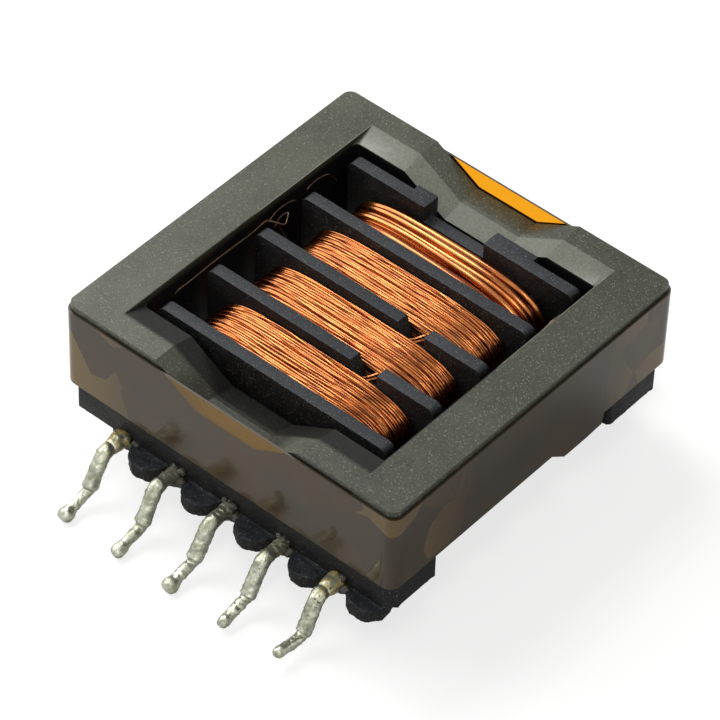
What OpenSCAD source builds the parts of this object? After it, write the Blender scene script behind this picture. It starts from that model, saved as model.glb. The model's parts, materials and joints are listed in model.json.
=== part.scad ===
// Low-profile surface-mount transformer: two flat E cores round a five-flange
// winding former, four wound sections, a tape band and ten gull-wing terminals.
// Millimetres. The origin is on the board plane under the middle of the part,
// X runs across the core, Y along the winding axis and Z up from the board.

/* [Ferrite core] */
// Width of the core across its outer legs
core_w = 15; // [13:0.1:17]
// Length of the two core halves together
core_l = 15; // [14:0.1:17]
// Height of the outer legs
core_h = 3.7; // [3.4:0.05:4.6]
// Clear width between the outer legs
window_w = 11.2; // [10.8:0.1:11.8]
// Thickness of each end wall
end_wall = 1.83; // [1.4:0.01:2]
// Width of the centre leg
centre_leg_w = 6.6; // [5.6:0.1:6.8]
// Height of the centre leg
centre_leg_h = 1.7; // [1.2:0.05:1.8]
// Rise of the centre leg's underside above the underside of the core
centre_leg_rise = 0.15; // [0:0.05:0.3]
// Air gap where the two centre legs meet
air_gap = 0.1; // [0.02:0.01:0.4]
// Width of the end wall's recess at the top
recess_w = 6.6; // [5:0.1:8]
// Width of the recess along its floor
recess_floor_w = 2.7; // [2:0.05:4.5]
// Depth of the recess below the top of the core
recess_depth = 1.1; // [0.5:0.05:1.4]
// Width of the sloped band along the inner edge of an end wall's top
bevel_w = 0.9; // [0.3:0.05:1.3]
// Slope of that band below the horizontal, in degrees
bevel_slope = 14; // [5:1:25]
// Radius of the core's upright outer corners
core_corner_r = 0.35; // [0.1:0.05:0.6]
// Radius in the upright corners of the window
window_corner_r = 0.25; // [0.1:0.05:0.5]

/* [Winding former] */
// Clearance between the centre leg and the inside of the former's tube
leg_clearance = 0.05; // [0.02:0.01:0.12]
// Wall of the former's tube
tube_wall = 0.4; // [0.3:0.05:0.5]
// Radius of the tube's outer edges
tube_corner_r = 0.5; // [0.3:0.05:0.7]
// Thickness of each flange
flange_t = 0.5; // [0.3:0.05:0.6]
// Radius of a flange's corners
flange_corner_r = 0.3; // [0.1:0.05:0.6]
// Gap from a flange's end to the outer leg of the core
flange_side_gap = 0.4; // [0.25:0.05:0.6]
// Gap from an end flange to the end wall of the core
flange_end_gap = 0.4; // [0.3:0.05:0.8]
// Depth of the flange tops below the top of the core
flange_drop = 0.3; // [0.1:0.05:0.6]
// Distance that the flanges hang below the core
flange_hang = 1.2; // [0.95:0.05:1.4]
// Place across the part of the wire passage in the second and third flange
passage_x = 2.05; // [-3:0.05:3]
// Width of that passage at the top
passage_w = 1.2; // [0.6:0.05:1.6]
// Depth of that passage
passage_depth = 1.1; // [0.5:0.05:1.6]
// Place across the part of the dip in the rear flange
dip_x = -0.22; // [-1:0.01:1]
// Width of that dip
dip_w = 2.75; // [1:0.05:4]
// Depth of that dip
dip_depth = 0.7; // [0.2:0.05:1.2]
// Width of the stop rib on the right of the dip
right_rib_w = 1.85; // [0.6:0.05:2.4]
// Width of the stop rib on the left of the dip
left_rib_w = 0.9; // [0.4:0.05:2.4]
// Gap from a stop rib to the end wall of the core
stop_rib_gap = 0.12; // [0.05:0.01:0.25]

/* [Terminal rails] */
// Height of the rails' underside above the board
standoff = 1.3; // [1:0.05:1.8]
// Thickness of the lobed foot along the bottom of a rail
lobe_h = 0.55; // [0.3:0.05:0.8]
// Height of a rail above its lobed foot
rail_h = 1.45; // [1.2:0.05:1.6]
// Gap between the rails and the underside of the core
rail_gap = 0.05; // [0:0.01:0.2]
// Distance from the end of the tape band in to the end of a rail
rail_end_inset = 0.25; // [0:0.05:0.5]
// Distance from the end of the core in to a rail's outer face
rail_face_inset = 0.2; // [0:0.05:0.4]
// Depth of a rail from its outer face to its inner face
rail_depth = 2.7; // [2.4:0.05:2.9]
// Chamfer on the upright corners at a rail's right end, seen from outside
rail_chamfer = 0.35; // [0.1:0.05:0.6]
// Chamfer on the upright corners at its left end
small_chamfer = 0.12; // [0.05:0.01:0.6]
// Radius of the lobes between the terminals
lobe_r = 0.8; // [0.5:0.05:0.9]
// Distance that the last lobe's middle lies inside the rail's outer face
end_lobe_inset = 0.2; // [0:0.05:0.5]
// Width of the lead grooves under a rail
groove_w = 0.5; // [0.3:0.05:0.7]
// Depth of the lead grooves
groove_depth = 0.28; // [0.15:0.01:0.3]

/* [Terminals] */
// Pitch of the terminals along a rail
pin_pitch = 2.5; // [2.2:0.05:2.7]
// Diameter of the tinned terminal wire
pin_d = 0.54; // [0.4:0.02:0.6]
// Height of the terminals' holes above the lobed foot
pin_rise = 0.06; // [0.02:0.01:0.6]
// Length of wire held inside the rail
pin_seat = 1.7; // [1:0.1:2]
// Clearance between the wire and its hole
pin_fit = 0.01; // [0.005:0.005:0.03]
// Straight run from the rail's face to the first bend's corner
pin_run = 1.1; // [1:0.05:1.8]
// Slope of the leg below the horizontal, in degrees
leg_slope = 59; // [50:1:75]
// Slope of the foot below the horizontal, in degrees
foot_slope = 15; // [5:1:25]
// Reach of the foot from its knee to the middle of its tip
foot_reach = 1.15; // [0.8:0.05:1.6]
// Bend radius on the wire's centre line
bend_r = 0.36; // [0.3:0.01:0.42]
// Diameter of the round bead of tin at the tip of the foot
tip_d = 0.62; // [0.56:0.02:0.8]
// Depth of the flat under that bead
tip_flat = 0.04; // [0.02:0.01:0.1]
// Lift of each front foot's tip off the board, from terminal 1 to 5
foot_lift = [0, 0, 0, 0.1, 0.45]; // [0:0.05:0.6]
// Thickness of the solder round a connected terminal
solder_t = 0.13; // [0.05:0.01:0.15]
// Length of the solder along the terminal
solder_l = 0.85; // [0.5:0.05:0.95]

/* [Windings] */
// Height of the copper above the tube in the fine sections
fine_build = 0.7; // [0.4:0.05:0.8]
// Diameter of the fine wire
fine_wire_d = 0.11; // [0.08:0.01:0.2]
// Height of the copper above the tube in the heavy section
heavy_build = 0.68; // [0.4:0.02:0.8]
// Diameter of the heavy wire
heavy_wire_d = 0.3; // [0.2:0.01:0.4]
// Clearance between the copper and the former
coil_fit = 0.02; // [0.01:0.01:0.05]

/* [Tape band] */
// Thickness of the wound tape
tape_t = 0.1; // [0.05:0.01:0.2]
// Clearance between the tape and the core
tape_fit = 0.005; // [0:0.005:0.02]
// Depth of the tape's upper edge below the top of the core
tape_drop = 0.3; // [0:0.05:0.6]
// Width of the tape
tape_w = 3.45; // [2.5:0.05:3.9]
// Length of the tape's loose tail
tail_l = 2.9; // [1:0.1:5]
// Distance that the tail hangs below the band
tail_hang = 0.55; // [0.1:0.05:0.9]
// Place of the tail's cut end along the part
tail_y = 1; // [0:0.1:2]

/* [Hidden] */
$fn = 48;

eps = 0.01;
front = 0;
rear = 180;
pins_per_rail = 5;
sections = 4;
flanges = sections + 1;

// Levels above the board
lobe_z = standoff;
rail_z = lobe_z + lobe_h;
core_z = rail_z + rail_h + rail_gap;
core_top = core_z + core_h;
leg_z = core_z + centre_leg_rise;
flange_top = core_top - flange_drop;
flange_z = core_z - flange_hang;
pin_z = rail_z + pin_rise;
tape_top = core_top - tape_drop;

// The former in plan
window_l = core_l - 2 * end_wall;
former_l = window_l - 2 * flange_end_gap;
section_w = (former_l - flanges * flange_t) / sections;
section_pitch = section_w + flange_t;
flange_w = window_w - 2 * flange_side_gap;
tube_w = centre_leg_w + 2 * (leg_clearance + tube_wall);
tube_h = centre_leg_h + 2 * (leg_clearance + tube_wall);
tube_z = leg_z - leg_clearance - tube_wall;
tube_mid_z = tube_z + tube_h / 2;
rail_w = core_w + 2 * (tape_t - rail_end_inset);
rail_face = core_l / 2 - rail_face_inset;

// The bends of a terminal, as [distance out from the rail's face, height]
tip_z = tip_d / 2 - tip_flat;
knee_z = tip_z + foot_reach * tan(foot_slope);
knee_out = pin_run + (pin_z - knee_z) / tan(leg_slope);
function pin_path(lift) = [
    [pin_fit - pin_seat, pin_z], [pin_run, pin_z], [knee_out, knee_z],
    [knee_out + foot_reach, tip_z + lift]
];

function flange_y(i) = (i - (flanges - 1) / 2) * section_pitch;
function section_y(i) = (i - (sections - 1) / 2) * section_pitch;
function pin_x(i) = (i - (pins_per_rail + 1) / 2) * pin_pitch;

// A block standing on z = 0, centred on the Z axis, with round upright corners
module slab(w, l, h, r) {
    translate([-w / 2 + r, -l / 2, 0]) cube([w - 2 * r, l, h]);
    translate([-w / 2, -l / 2 + r, 0]) cube([w, l - 2 * r, h]);
    for (x = [-1, 1], y = [-1, 1])
        translate([x * (w / 2 - r), y * (l / 2 - r), 0]) cylinder(h = h, r = r);
}

// The same block standing on its long side: w across X, h up Z, t along Y
module plate(w, h, t, r) {
    translate([0, t / 2, h / 2]) rotate([90, 0, 0]) slab(w, h, t, r);
}

// ---- Ferrite core ----

module core_half() {
    color("dimgray") {
        difference() {
            translate([0, 0, core_z]) slab(core_w, core_l, core_h, core_corner_r);
            translate([0, 0, core_z - 1]) slab(window_w, window_l, core_h + 2, window_corner_r);
            translate([-core_w, 0, core_z - 1]) cube([2 * core_w, core_l, core_h + 2]);
            end_wall_recess();
            end_wall_bevel();
        }
        translate([-centre_leg_w / 2, -core_l / 2 + end_wall - eps, leg_z])
            cube([centre_leg_w, window_l / 2 - air_gap / 2 + eps, centre_leg_h]);
    }
}

// The sloped recess that the winding looks out through
module end_wall_recess() {
    translate([0, 0, core_top]) rotate([90, 0, 0]) linear_extrude(height = core_l) recess_profile(0);
}

// The same cut tilted down towards the window, with the wall's flat top tilted too
module end_wall_bevel() {
    translate([0, -core_l / 2 + end_wall - bevel_w, core_top]) rotate([-bevel_slope, 0, 0])
        rotate([90, 0, 180]) linear_extrude(height = 2 * end_wall) recess_profile(window_w - recess_w);
}

// Outline of the recess, on ledges that reach `ledge` wider than its top
module recess_profile(ledge) {
    over = 1;
    polygon([
        [-recess_floor_w / 2, -recess_depth], [recess_floor_w / 2, -recess_depth],
        [recess_w / 2, 0], [(recess_w + ledge) / 2, 0], [(recess_w + ledge) / 2, over],
        [-(recess_w + ledge) / 2, over], [-(recess_w + ledge) / 2, 0], [-recess_w / 2, 0]
    ]);
}

// ---- Winding former ----

module bobbin() {
    color([0.13, 0.13, 0.15]) difference() {
        union() {
            translate([0, 0, tube_z]) plate(tube_w, tube_h, former_l, tube_corner_r);
            for (i = [0 : flanges - 1]) flange(i);
            stop_ribs();
            rail(front);
            rail(rear);
        }
        leg_passage();
        for (i = [1, 2]) wire_passage(flange_y(i));
        rear_dip();
    }
}

module flange(i) {
    translate([0, flange_y(i), flange_z])
        plate(flange_w, flange_top - flange_z, flange_t, flange_corner_r);
}

// The rectangular way through the tube for the two centre legs
module leg_passage() {
    translate([
        -centre_leg_w / 2 - leg_clearance, -core_l / 2 + end_wall - flange_end_gap, leg_z - leg_clearance
    ]) cube([
        centre_leg_w + 2 * leg_clearance, window_l + 2 * flange_end_gap, centre_leg_h + 2 * leg_clearance
    ]);
}

// A notch with one sloped side, where a wire steps over into the next section
module wire_passage(y) {
    lead_in = passage_w / 3;
    translate([passage_x, y + flange_t / 2 + eps, flange_top]) rotate([90, 0, 0])
        linear_extrude(height = flange_t + 2 * eps)
            polygon([
                [-passage_w / 2, 1], [-passage_w / 2, 0], [-passage_w / 2 + lead_in, -passage_depth],
                [passage_w / 2, -passage_depth], [passage_w / 2, 1]
            ]);
}

// The low middle of the rear flange
module rear_dip() {
    translate([dip_x - dip_w / 2, flange_y(flanges - 1) - flange_t / 2 - eps, flange_top - dip_depth])
        cube([dip_w, flange_t + flange_end_gap + 2 * eps, dip_depth + 1]);
}

// Two ribs on the rear flange that stop against the end wall
module stop_ribs() {
    reach = flange_end_gap - stop_rib_gap;
    h = flange_top - tube_z - tube_h;
    translate([dip_x + dip_w / 2, former_l / 2 - eps, tube_z + tube_h])
        cube([right_rib_w, reach + eps, h]);
    translate([dip_x - dip_w / 2 - left_rib_w, former_l / 2 - eps, tube_z + tube_h])
        cube([left_rib_w, reach + eps, h]);
}

// One terminal rail, drawn at the front and turned half round for the rear
module rail(turn) {
    rotate([0, 0, turn]) difference() {
        union() {
            rail_block();
            lobed_foot();
        }
        for (i = [1 : pins_per_rail]) {
            pin_hole(pin_x(i));
            lead_groove(pin_x(i));
        }
        coil_room();
    }
}

module rail_block() {
    half = rail_w / 2;
    c = rail_chamfer;
    d = small_chamfer;
    back = -rail_face + rail_depth;
    translate([0, 0, rail_z]) linear_extrude(height = rail_h)
        polygon([
            [-half + d, -rail_face], [half - c, -rail_face], [half, -rail_face + c], [half, back - c],
            [half - c, back], [-half + d, back], [-half, back - d], [-half, -rail_face + d]
        ]);
}

// The foot of the rail, with a half-round lobe after each terminal
module lobed_foot() {
    start = pin_x(1) - pin_pitch / 4;
    end = pin_x(pins_per_rail) + pin_pitch / 2;
    translate([start, -rail_face, lobe_z]) cube([end - start, rail_depth, lobe_h + eps]);
    for (i = [1 : pins_per_rail])
        translate([
            pin_x(i) + pin_pitch / 2, -rail_face + (i == pins_per_rail ? end_lobe_inset : 0), lobe_z
        ]) cylinder(h = lobe_h, r = lobe_r);
}

// Clears the part of the rail that would reach into the first wound section
module coil_room() {
    translate([-flange_w / 2, -former_l / 2 + flange_t, lobe_z - 1])
        cube([flange_w, rail_depth, core_h + 2]);
}

module pin_hole(x) {
    translate([x, -rail_face + pin_seat, pin_z]) rotate([90, 0, 0])
        cylinder(h = pin_seat + 1, r = pin_d / 2 + pin_fit);
}

module lead_groove(x) {
    translate([x - groove_w / 2, -rail_face - 1, lobe_z - 1])
        cube([groove_w, rail_depth + 2, groove_depth + 1]);
}

// ---- Terminals ----

// A round wire along points in the XY plane, with a true bend at each inner point.
// Each bend is a hair thicker than the straights, so that their ends lie inside it.
module bent_wire(points, d, bend) {
    last = len(points) - 1;
    skin = d / 100;
    lap = 2;
    function heading(i) = atan2(points[i + 1].y - points[i].y, points[i + 1].x - points[i].x);
    function turn(i) = heading(i) - heading(i - 1);
    function trim(i) = i == 0 || i == last ? 0 : bend * tan(abs(turn(i)) / 2) - skin;
    for (i = [0 : last - 1]) {
        run = norm(points[i + 1] - points[i]) - trim(i) - trim(i + 1);
        translate(points[i]) rotate([0, 0, heading(i)]) translate([trim(i), 0, 0])
            rotate([0, 90, 0]) cylinder(h = run, d = d);
    }
    for (i = [1 : last - 1]) {
        start = turn(i) > 0 ? -90 : 90 + turn(i);
        translate(points[i]) rotate([0, 0, heading(i - 1)])
            translate([-bend * tan(abs(turn(i)) / 2), sign(turn(i)) * bend, 0])
                rotate([0, 0, start - lap]) rotate_extrude(angle = abs(turn(i)) + 2 * lap)
                    translate([bend, 0]) circle(d = d + 2 * skin);
    }
}

// Turns a profile drawn outwards in X and upwards in Y to stand at a rail's face
module at_rail(turn, x) {
    rotate([0, 0, turn]) translate([x, -rail_face, 0]) rotate([0, 0, -90]) rotate([90, 0, 0]) children();
}

// A terminal, with a small flat under the bead at its tip to stand on
module pin(turn, i, lift = 0) {
    path = pin_path(lift);
    color("silver") at_rail(turn, pin_x(i)) difference() {
        union() {
            bent_wire(path, pin_d, bend_r);
            translate(path[3]) rotate([90, 0, 0]) sphere(d = tip_d);
        }
        translate([path[3].x - tip_d, lift - tip_d, -tip_d]) cube([2 * tip_d, tip_d, 2 * tip_d]);
    }
}

// Solder drawn up round the root of a terminal that carries a wire end
module solder(turn, i) {
    inner = pin_d / 2 + pin_fit / 2;
    outer = pin_d / 2 + solder_t;
    color("gainsboro") at_rail(turn, pin_x(i)) translate([pin_fit, pin_z, 0]) rotate([0, 90, 0])
        rotate_extrude()
            polygon([
                [inner, 0], [outer, 0], [outer, solder_l * 0.55], [outer - solder_t * 0.35, solder_l * 0.85],
                [inner + solder_t * 0.15, solder_l], [inner, solder_l]
            ]);
}

// ---- Windings ----

// The section through a coil: a flat inside and one ridge for each turn outside
function coil_section(inner, outer, w, wire_d) =
    let (turns = floor(w / wire_d), pitch = w / turns, depth = wire_d * 0.32)
    concat(
        [[inner, -w / 2], [outer - depth, -w / 2]],
        [for (k = [0 : turns - 1], s = [0.28, 0.72, 1])
            [s < 1 ? outer : outer - depth, -w / 2 + (k + s) * pitch]],
        [[inner, w / 2]]
    );

module coil(i, build, wire_d) {
    r = tube_corner_r;
    w = section_w - 2 * coil_fit;
    profile = coil_section(coil_fit, build, w, wire_d);
    corner = coil_section(r + coil_fit, r + build, w, wire_d);
    color([0.78, 0.42, 0.2]) translate([0, section_y(i), tube_mid_z]) rotate([90, 0, 0])
        for (q = [0 : 3]) {
            long_side = q % 2 == 0;
            half = (long_side ? tube_w : tube_h) / 2;
            other = (long_side ? tube_h : tube_w) / 2;
            rotate([0, 0, q * 90]) {
                translate([half - r, other - r, 0]) rotate_extrude(angle = 90) polygon(corner);
                translate([half, -other + r, 0]) rotate([-90, 0, 0])
                    linear_extrude(height = 2 * (other - r)) mirror([0, 1]) polygon(profile);
            }
        }
}

// ---- Wire ends ----

// A smooth curve through hand-placed points
function curve_point(a, b, c, d, t) =
    0.5 * (2 * b + (c - a) * t + (2 * a - 5 * b + 4 * c - d) * t * t
        + (3 * b - a - 3 * c + d) * t * t * t);
function smooth(p, steps) = [
    for (i = [0 : len(p) - 2], s = [0 : steps - 1])
        curve_point(p[max(i - 1, 0)], p[i], p[i + 1], p[min(i + 2, len(p) - 1)], s / steps),
    p[len(p) - 1]
];
function unit(v) = v / norm(v);
function along(p, i) = unit(p[min(i + 1, len(p) - 1)] - p[max(i - 1, 0)]);
// Carries a side direction along the curve without twist
function sides(p, i = 0, v = [0.31, 0.17, 0.93]) =
    let (t = along(p, i), n = unit(v - (v * t) * t))
    i == len(p) - 1 ? [n] : concat([n], sides(p, i + 1, n));

module thin_wire(points, d, steps = 3, facets = 8) {
    p = smooth(points, steps);
    n = sides(p);
    rings = len(p);
    verts = [
        for (i = [0 : rings - 1], k = [0 : facets - 1])
            let (a = 360 * k / facets) p[i] + d / 2 * (n[i] * cos(a) + cross(along(p, i), n[i]) * sin(a))
    ];
    faces = concat(
        [[for (k = [facets - 1 : -1 : 0]) k]],
        [for (i = [0 : rings - 2], k = [0 : facets - 1])
            let (a = i * facets, b = (k + 1) % facets) [a + k, a + b, a + facets + b, a + facets + k]],
        [[for (k = [0 : facets - 1]) (rings - 1) * facets + k]]
    );
    polyhedron(points = verts, faces = [for (f = faces) [for (j = [len(f) - 1 : -1 : 0]) f[j]]]);
}

copper = [0.8, 0.45, 0.22];
coil_top = tube_z + tube_h + fine_build;
coil_low = tube_z - fine_build;
heavy_low = tube_z - heavy_build;
function groove_wire_z(d) = lobe_z + groove_depth - d / 2 - coil_fit;
function joint_wire_z(d) = pin_z - pin_d / 2 - solder_t - d * 0.62;
coil_side = tube_w / 2 + fine_build;

// A strand that steps from the top of one section over to the next
module crossover_wire(i) {
    y = flange_y(i);
    z = coil_top + fine_wire_d * 0.6;
    color(copper) thin_wire([
        [passage_x - 0.45, y - 0.85, z], [passage_x - 0.1, y - 0.4, z + 0.02],
        [passage_x + 0.1, y, z + 0.02], [passage_x + 0.3, y + 0.4, z + 0.02],
        [passage_x + 0.65, y + 0.85, z]
    ], fine_wire_d);
}

// From the first section, under the rail in its groove and up to the last front terminal
module secondary_start_lead() {
    x = pin_x(pins_per_rail);
    color(copper) thin_wire([
        [tube_w / 2 - 0.4, -former_l / 2 + flange_t + 0.9, coil_low - fine_wire_d * 0.6],
        [x - 0.9, -former_l / 2 + flange_t + 0.6, flange_z - 0.2],
        [x - 0.1, -former_l / 2 + flange_t + 0.1, lobe_z + 0.2],
        [x, -former_l / 2 - 0.6, groove_wire_z(fine_wire_d)],
        [x, -rail_face + 0.4, groove_wire_z(fine_wire_d)],
        [x, -rail_face, joint_wire_z(fine_wire_d)],
        [x, -rail_face - 0.45, joint_wire_z(fine_wire_d)]
    ], fine_wire_d);
}

// From the third section along the flange ends, then under the rail to the first front terminal
module secondary_finish_lead() {
    x = -flange_w / 2 - flange_side_gap / 2;
    color(copper) thin_wire([
        [-coil_side - fine_wire_d * 0.6, section_y(2), tube_mid_z + 0.6],
        [x, section_y(2) - 0.5, flange_top - 0.5],
        [x, flange_y(1), flange_top - 0.45],
        [x, flange_y(0) + 0.9, flange_top - 0.7],
        [x, flange_y(0) + 0.75, core_z + 0.4],
        [x, flange_y(0) + 0.7, lobe_z + 0.5],
        [pin_x(1), flange_y(0) + 0.3, lobe_z + 0.15],
        [pin_x(1), -former_l / 2 - 0.6, groove_wire_z(fine_wire_d)],
        [pin_x(1), -rail_face + 0.4, groove_wire_z(fine_wire_d)],
        [pin_x(1), -rail_face, joint_wire_z(fine_wire_d)],
        [pin_x(1), -rail_face - 0.45, joint_wire_z(fine_wire_d)]
    ], fine_wire_d);
}

// From the heavy section under the rear rail to a rear terminal
module primary_lead(i, y_start) {
    x = -pin_x(i);
    color(copper) thin_wire([
        [x * 0.8, y_start, heavy_low - heavy_wire_d * 0.6],
        [x * 0.95, former_l / 2 - flange_t - 0.5, lobe_z + 0.45],
        [x, former_l / 2 - flange_t - 0.15, groove_wire_z(heavy_wire_d) - 0.02],
        [x, former_l / 2 + 0.6, groove_wire_z(heavy_wire_d)],
        [x, rail_face - 0.4, groove_wire_z(heavy_wire_d)],
        [x, rail_face, joint_wire_z(heavy_wire_d)],
        [x, rail_face + 0.45, joint_wire_z(heavy_wire_d)]
    ], heavy_wire_d);
}

// ---- Tape band ----

module core_tape() {
    wide = core_w + 2 * tape_t;
    long = core_l + 2 * tape_t;
    color([0.72, 0.48, 0.12, 0.75]) {
        difference() {
            translate([0, 0, tape_top - tape_w]) slab(wide, long, tape_w, core_corner_r + tape_t);
            translate([0, 0, tape_top - tape_w - 1])
                slab(core_w + 2 * tape_fit, core_l + 2 * tape_fit, tape_w + 2, core_corner_r + tape_fit);
        }
        tape_tail();
    }
}

// The loose end of the tape, which hangs a little below the band
module tape_tail() {
    translate([core_w / 2 + tape_fit, tail_y, tape_top - tape_w]) rotate([90, 0, 90])
        linear_extrude(height = tape_t - tape_fit)
            polygon([
                [0, eps], [tail_l / 4, -tail_hang], [tail_l * 0.97, -tail_hang * 0.9], [tail_l, eps]
            ]);
}

core_half();  // core_half_front
rotate([0, 0, rear]) core_half();  // core_half_rear
bobbin();
for (i = [0 : 2])
    coil(i, fine_build, fine_wire_d);
coil(sections - 1, heavy_build, heavy_wire_d);  // primary_coil
for (i = [1, 2])
    crossover_wire(i);
secondary_start_lead();
secondary_finish_lead();
primary_lead(2, section_y(3));  // primary_start_lead
primary_lead(4, section_y(3) + 0.3);  // primary_finish_lead
core_tape();
for (i = [1 : pins_per_rail]) {
    pin(front, i, foot_lift[i - 1]);
    pin(rear, i);
}
for (i = [1, 5])
    solder(front, i);
for (i = [2, 4])
    solder(rear, i);
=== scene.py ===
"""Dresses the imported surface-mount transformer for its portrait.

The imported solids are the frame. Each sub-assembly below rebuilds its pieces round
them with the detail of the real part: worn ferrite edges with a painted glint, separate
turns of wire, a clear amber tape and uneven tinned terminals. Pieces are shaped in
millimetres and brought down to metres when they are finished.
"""

from __future__ import annotations

import json
import logging
import math
import random
from contextlib import contextmanager
from dataclasses import dataclass, field
from enum import Enum
from typing import Callable, Iterator, Sequence

import bpy
from mathutils import Matrix, Vector

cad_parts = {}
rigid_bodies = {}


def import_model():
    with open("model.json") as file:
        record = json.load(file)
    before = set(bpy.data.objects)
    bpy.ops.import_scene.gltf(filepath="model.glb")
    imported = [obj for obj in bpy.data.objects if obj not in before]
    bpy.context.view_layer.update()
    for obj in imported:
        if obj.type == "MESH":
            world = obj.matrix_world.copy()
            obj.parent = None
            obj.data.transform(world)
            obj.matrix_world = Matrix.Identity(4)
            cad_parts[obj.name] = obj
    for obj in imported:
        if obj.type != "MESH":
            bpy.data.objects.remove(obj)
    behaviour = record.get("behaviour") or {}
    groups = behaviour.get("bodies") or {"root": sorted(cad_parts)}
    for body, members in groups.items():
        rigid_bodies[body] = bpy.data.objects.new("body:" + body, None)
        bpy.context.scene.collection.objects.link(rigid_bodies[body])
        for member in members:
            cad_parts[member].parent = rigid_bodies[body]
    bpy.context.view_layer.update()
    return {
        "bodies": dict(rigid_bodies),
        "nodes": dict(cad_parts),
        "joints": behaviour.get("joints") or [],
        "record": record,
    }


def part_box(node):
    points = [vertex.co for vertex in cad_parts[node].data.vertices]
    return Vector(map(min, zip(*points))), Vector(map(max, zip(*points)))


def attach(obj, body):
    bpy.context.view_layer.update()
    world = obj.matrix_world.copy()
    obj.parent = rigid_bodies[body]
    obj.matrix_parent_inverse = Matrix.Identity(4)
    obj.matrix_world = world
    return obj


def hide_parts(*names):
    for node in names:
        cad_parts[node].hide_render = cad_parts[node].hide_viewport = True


LOG = logging.getLogger("transformer")
MM = 1000.0
Point = tuple[float, float, float]
Colour = tuple[float, float, float]
Ring = tuple[float, float, float, float, float]
Spot = tuple[float, float, float, float]


class Side(Enum):
    """The two rails, by the turn that takes the front one to its place."""

    FRONT = 0.0
    REAR = math.pi


class Pick(Enum):
    """What an edit works on."""

    VERTEX = "VERT"
    EDGE = "EDGE"
    FACE = "FACE"


class SheenOf(Enum):
    """Where a wire's finish is used, which sets how fine its stripes of painted highlight and shade are.
    """

    FINE = 24000.0
    HEAVY = 7000.0
    LOOSE = 16000.0


# ---- The bench: the few steps that every piece shares ----


def focus(piece: bpy.types.Object) -> None:
    """Makes one piece the only thing selected.

    Args:
        piece: The piece to work on.
    """
    if bpy.context.object is not None and bpy.context.object.mode != "OBJECT":
        bpy.ops.object.mode_set(mode="OBJECT")
    bpy.ops.object.select_all(action="DESELECT")
    piece.select_set(True)
    bpy.context.view_layer.objects.active = piece


@contextmanager
def editing(piece: bpy.types.Object, kind: Pick = Pick.FACE) -> Iterator[None]:
    """Opens a piece in edit mode for the length of a with block.

    Args:
        piece: The piece to edit.
        kind: What the edit selects.
    """
    focus(piece)
    bpy.context.tool_settings.mesh_select_mode = tuple(kind is k for k in Pick)
    bpy.ops.object.mode_set(mode="EDIT")
    try:
        yield
    finally:
        bpy.ops.object.mode_set(mode="OBJECT")


def choose(piece: bpy.types.Object, kind: Pick, wanted: Callable[[Vector, Vector], bool]) -> int:
    """Selects the vertices, edges or faces that pass a test, outside edit mode.

    Args:
        piece: The piece to select on.
        kind: What to select.
        wanted: Called with the place and the normal of each, and true for those to select.

    Returns:
        How many were selected.
    """
    mesh = piece.data
    for group in (mesh.vertices, mesh.edges, mesh.polygons):
        group.foreach_set("select", [False] * len(group))
    count = 0
    if kind is Pick.VERTEX:
        for v in mesh.vertices:
            v.select = wanted(v.co, v.normal)
            count += v.select
    elif kind is Pick.EDGE:
        for e in mesh.edges:
            a, b = (mesh.vertices[i] for i in e.vertices)
            e.select = wanted((a.co + b.co) / 2, b.co - a.co)
            count += e.select
            if e.select:
                a.select = b.select = True
    else:
        for p in mesh.polygons:
            p.select = wanted(p.center, p.normal)
            count += p.select
    return count


def choose_sharp(piece: bpy.types.Object, angle: float, keep: Callable[[Vector, Vector], bool]) -> int:
    """Selects the edges where two faces meet at an angle.

    Args:
        piece: The piece to select on.
        angle: The least angle between the faces, in degrees.
        keep: Called with the edge's two ends, and true for those that may be selected.

    Returns:
        How many were selected.
    """
    mesh = piece.data
    for group in (mesh.vertices, mesh.edges, mesh.polygons):
        group.foreach_set("select", [False] * len(group))
    beside: dict[tuple[int, int], list[Vector]] = {}
    for p in mesh.polygons:
        for key in p.edge_keys:
            beside.setdefault(key, []).append(p.normal.copy())
    count = 0
    limit = math.radians(angle)
    for e in mesh.edges:
        normals = beside.get(e.key, [])
        if len(normals) != 2 or normals[0].angle(normals[1], 0.0) < limit:
            continue
        a, b = (mesh.vertices[i].co for i in e.vertices)
        if keep(a, b):
            e.select = True
            for i in e.vertices:
                mesh.vertices[i].select = True
            count += 1
    return count


def modify(piece: bpy.types.Object, kind: str, **settings: object) -> None:
    """Adds a modifier, sets it up and applies it.

    Args:
        piece: The piece to change.
        kind: The modifier's type.
        settings: The modifier's settings, by name.
    """
    focus(piece)
    tool = piece.modifiers.new(kind.title(), kind)
    for name, value in settings.items():
        setattr(tool, name, value)
    bpy.ops.object.modifier_apply(modifier=tool.name)


def recalculate(piece: bpy.types.Object, merge: float = 0.0005) -> None:
    """Merges doubles and turns every face outwards.

    Args:
        piece: The piece to clean.
        merge: The distance within which vertices are one, in millimetres.
    """
    with editing(piece, Pick.VERTEX):
        bpy.ops.mesh.select_all(action="SELECT")
        bpy.ops.mesh.remove_doubles(threshold=merge)
        bpy.ops.mesh.normals_make_consistent(inside=False)


def roughen(piece: bpy.types.Object, size: float, strength: float) -> None:
    """Pushes the surface in and out by a soft cloud pattern.

    Args:
        piece: The piece to change, in millimetres.
        size: The size of the lumps, in millimetres.
        strength: The most that they rise or fall between them, in millimetres.
    """
    pattern = bpy.data.textures.new("lumps", "CLOUDS")
    pattern.noise_scale = size
    pattern.noise_depth = 2
    modify(
        piece, "DISPLACE", texture=pattern, texture_coords="LOCAL", strength=strength, mid_level=0.5
    )
    bpy.data.textures.remove(pattern)


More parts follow.
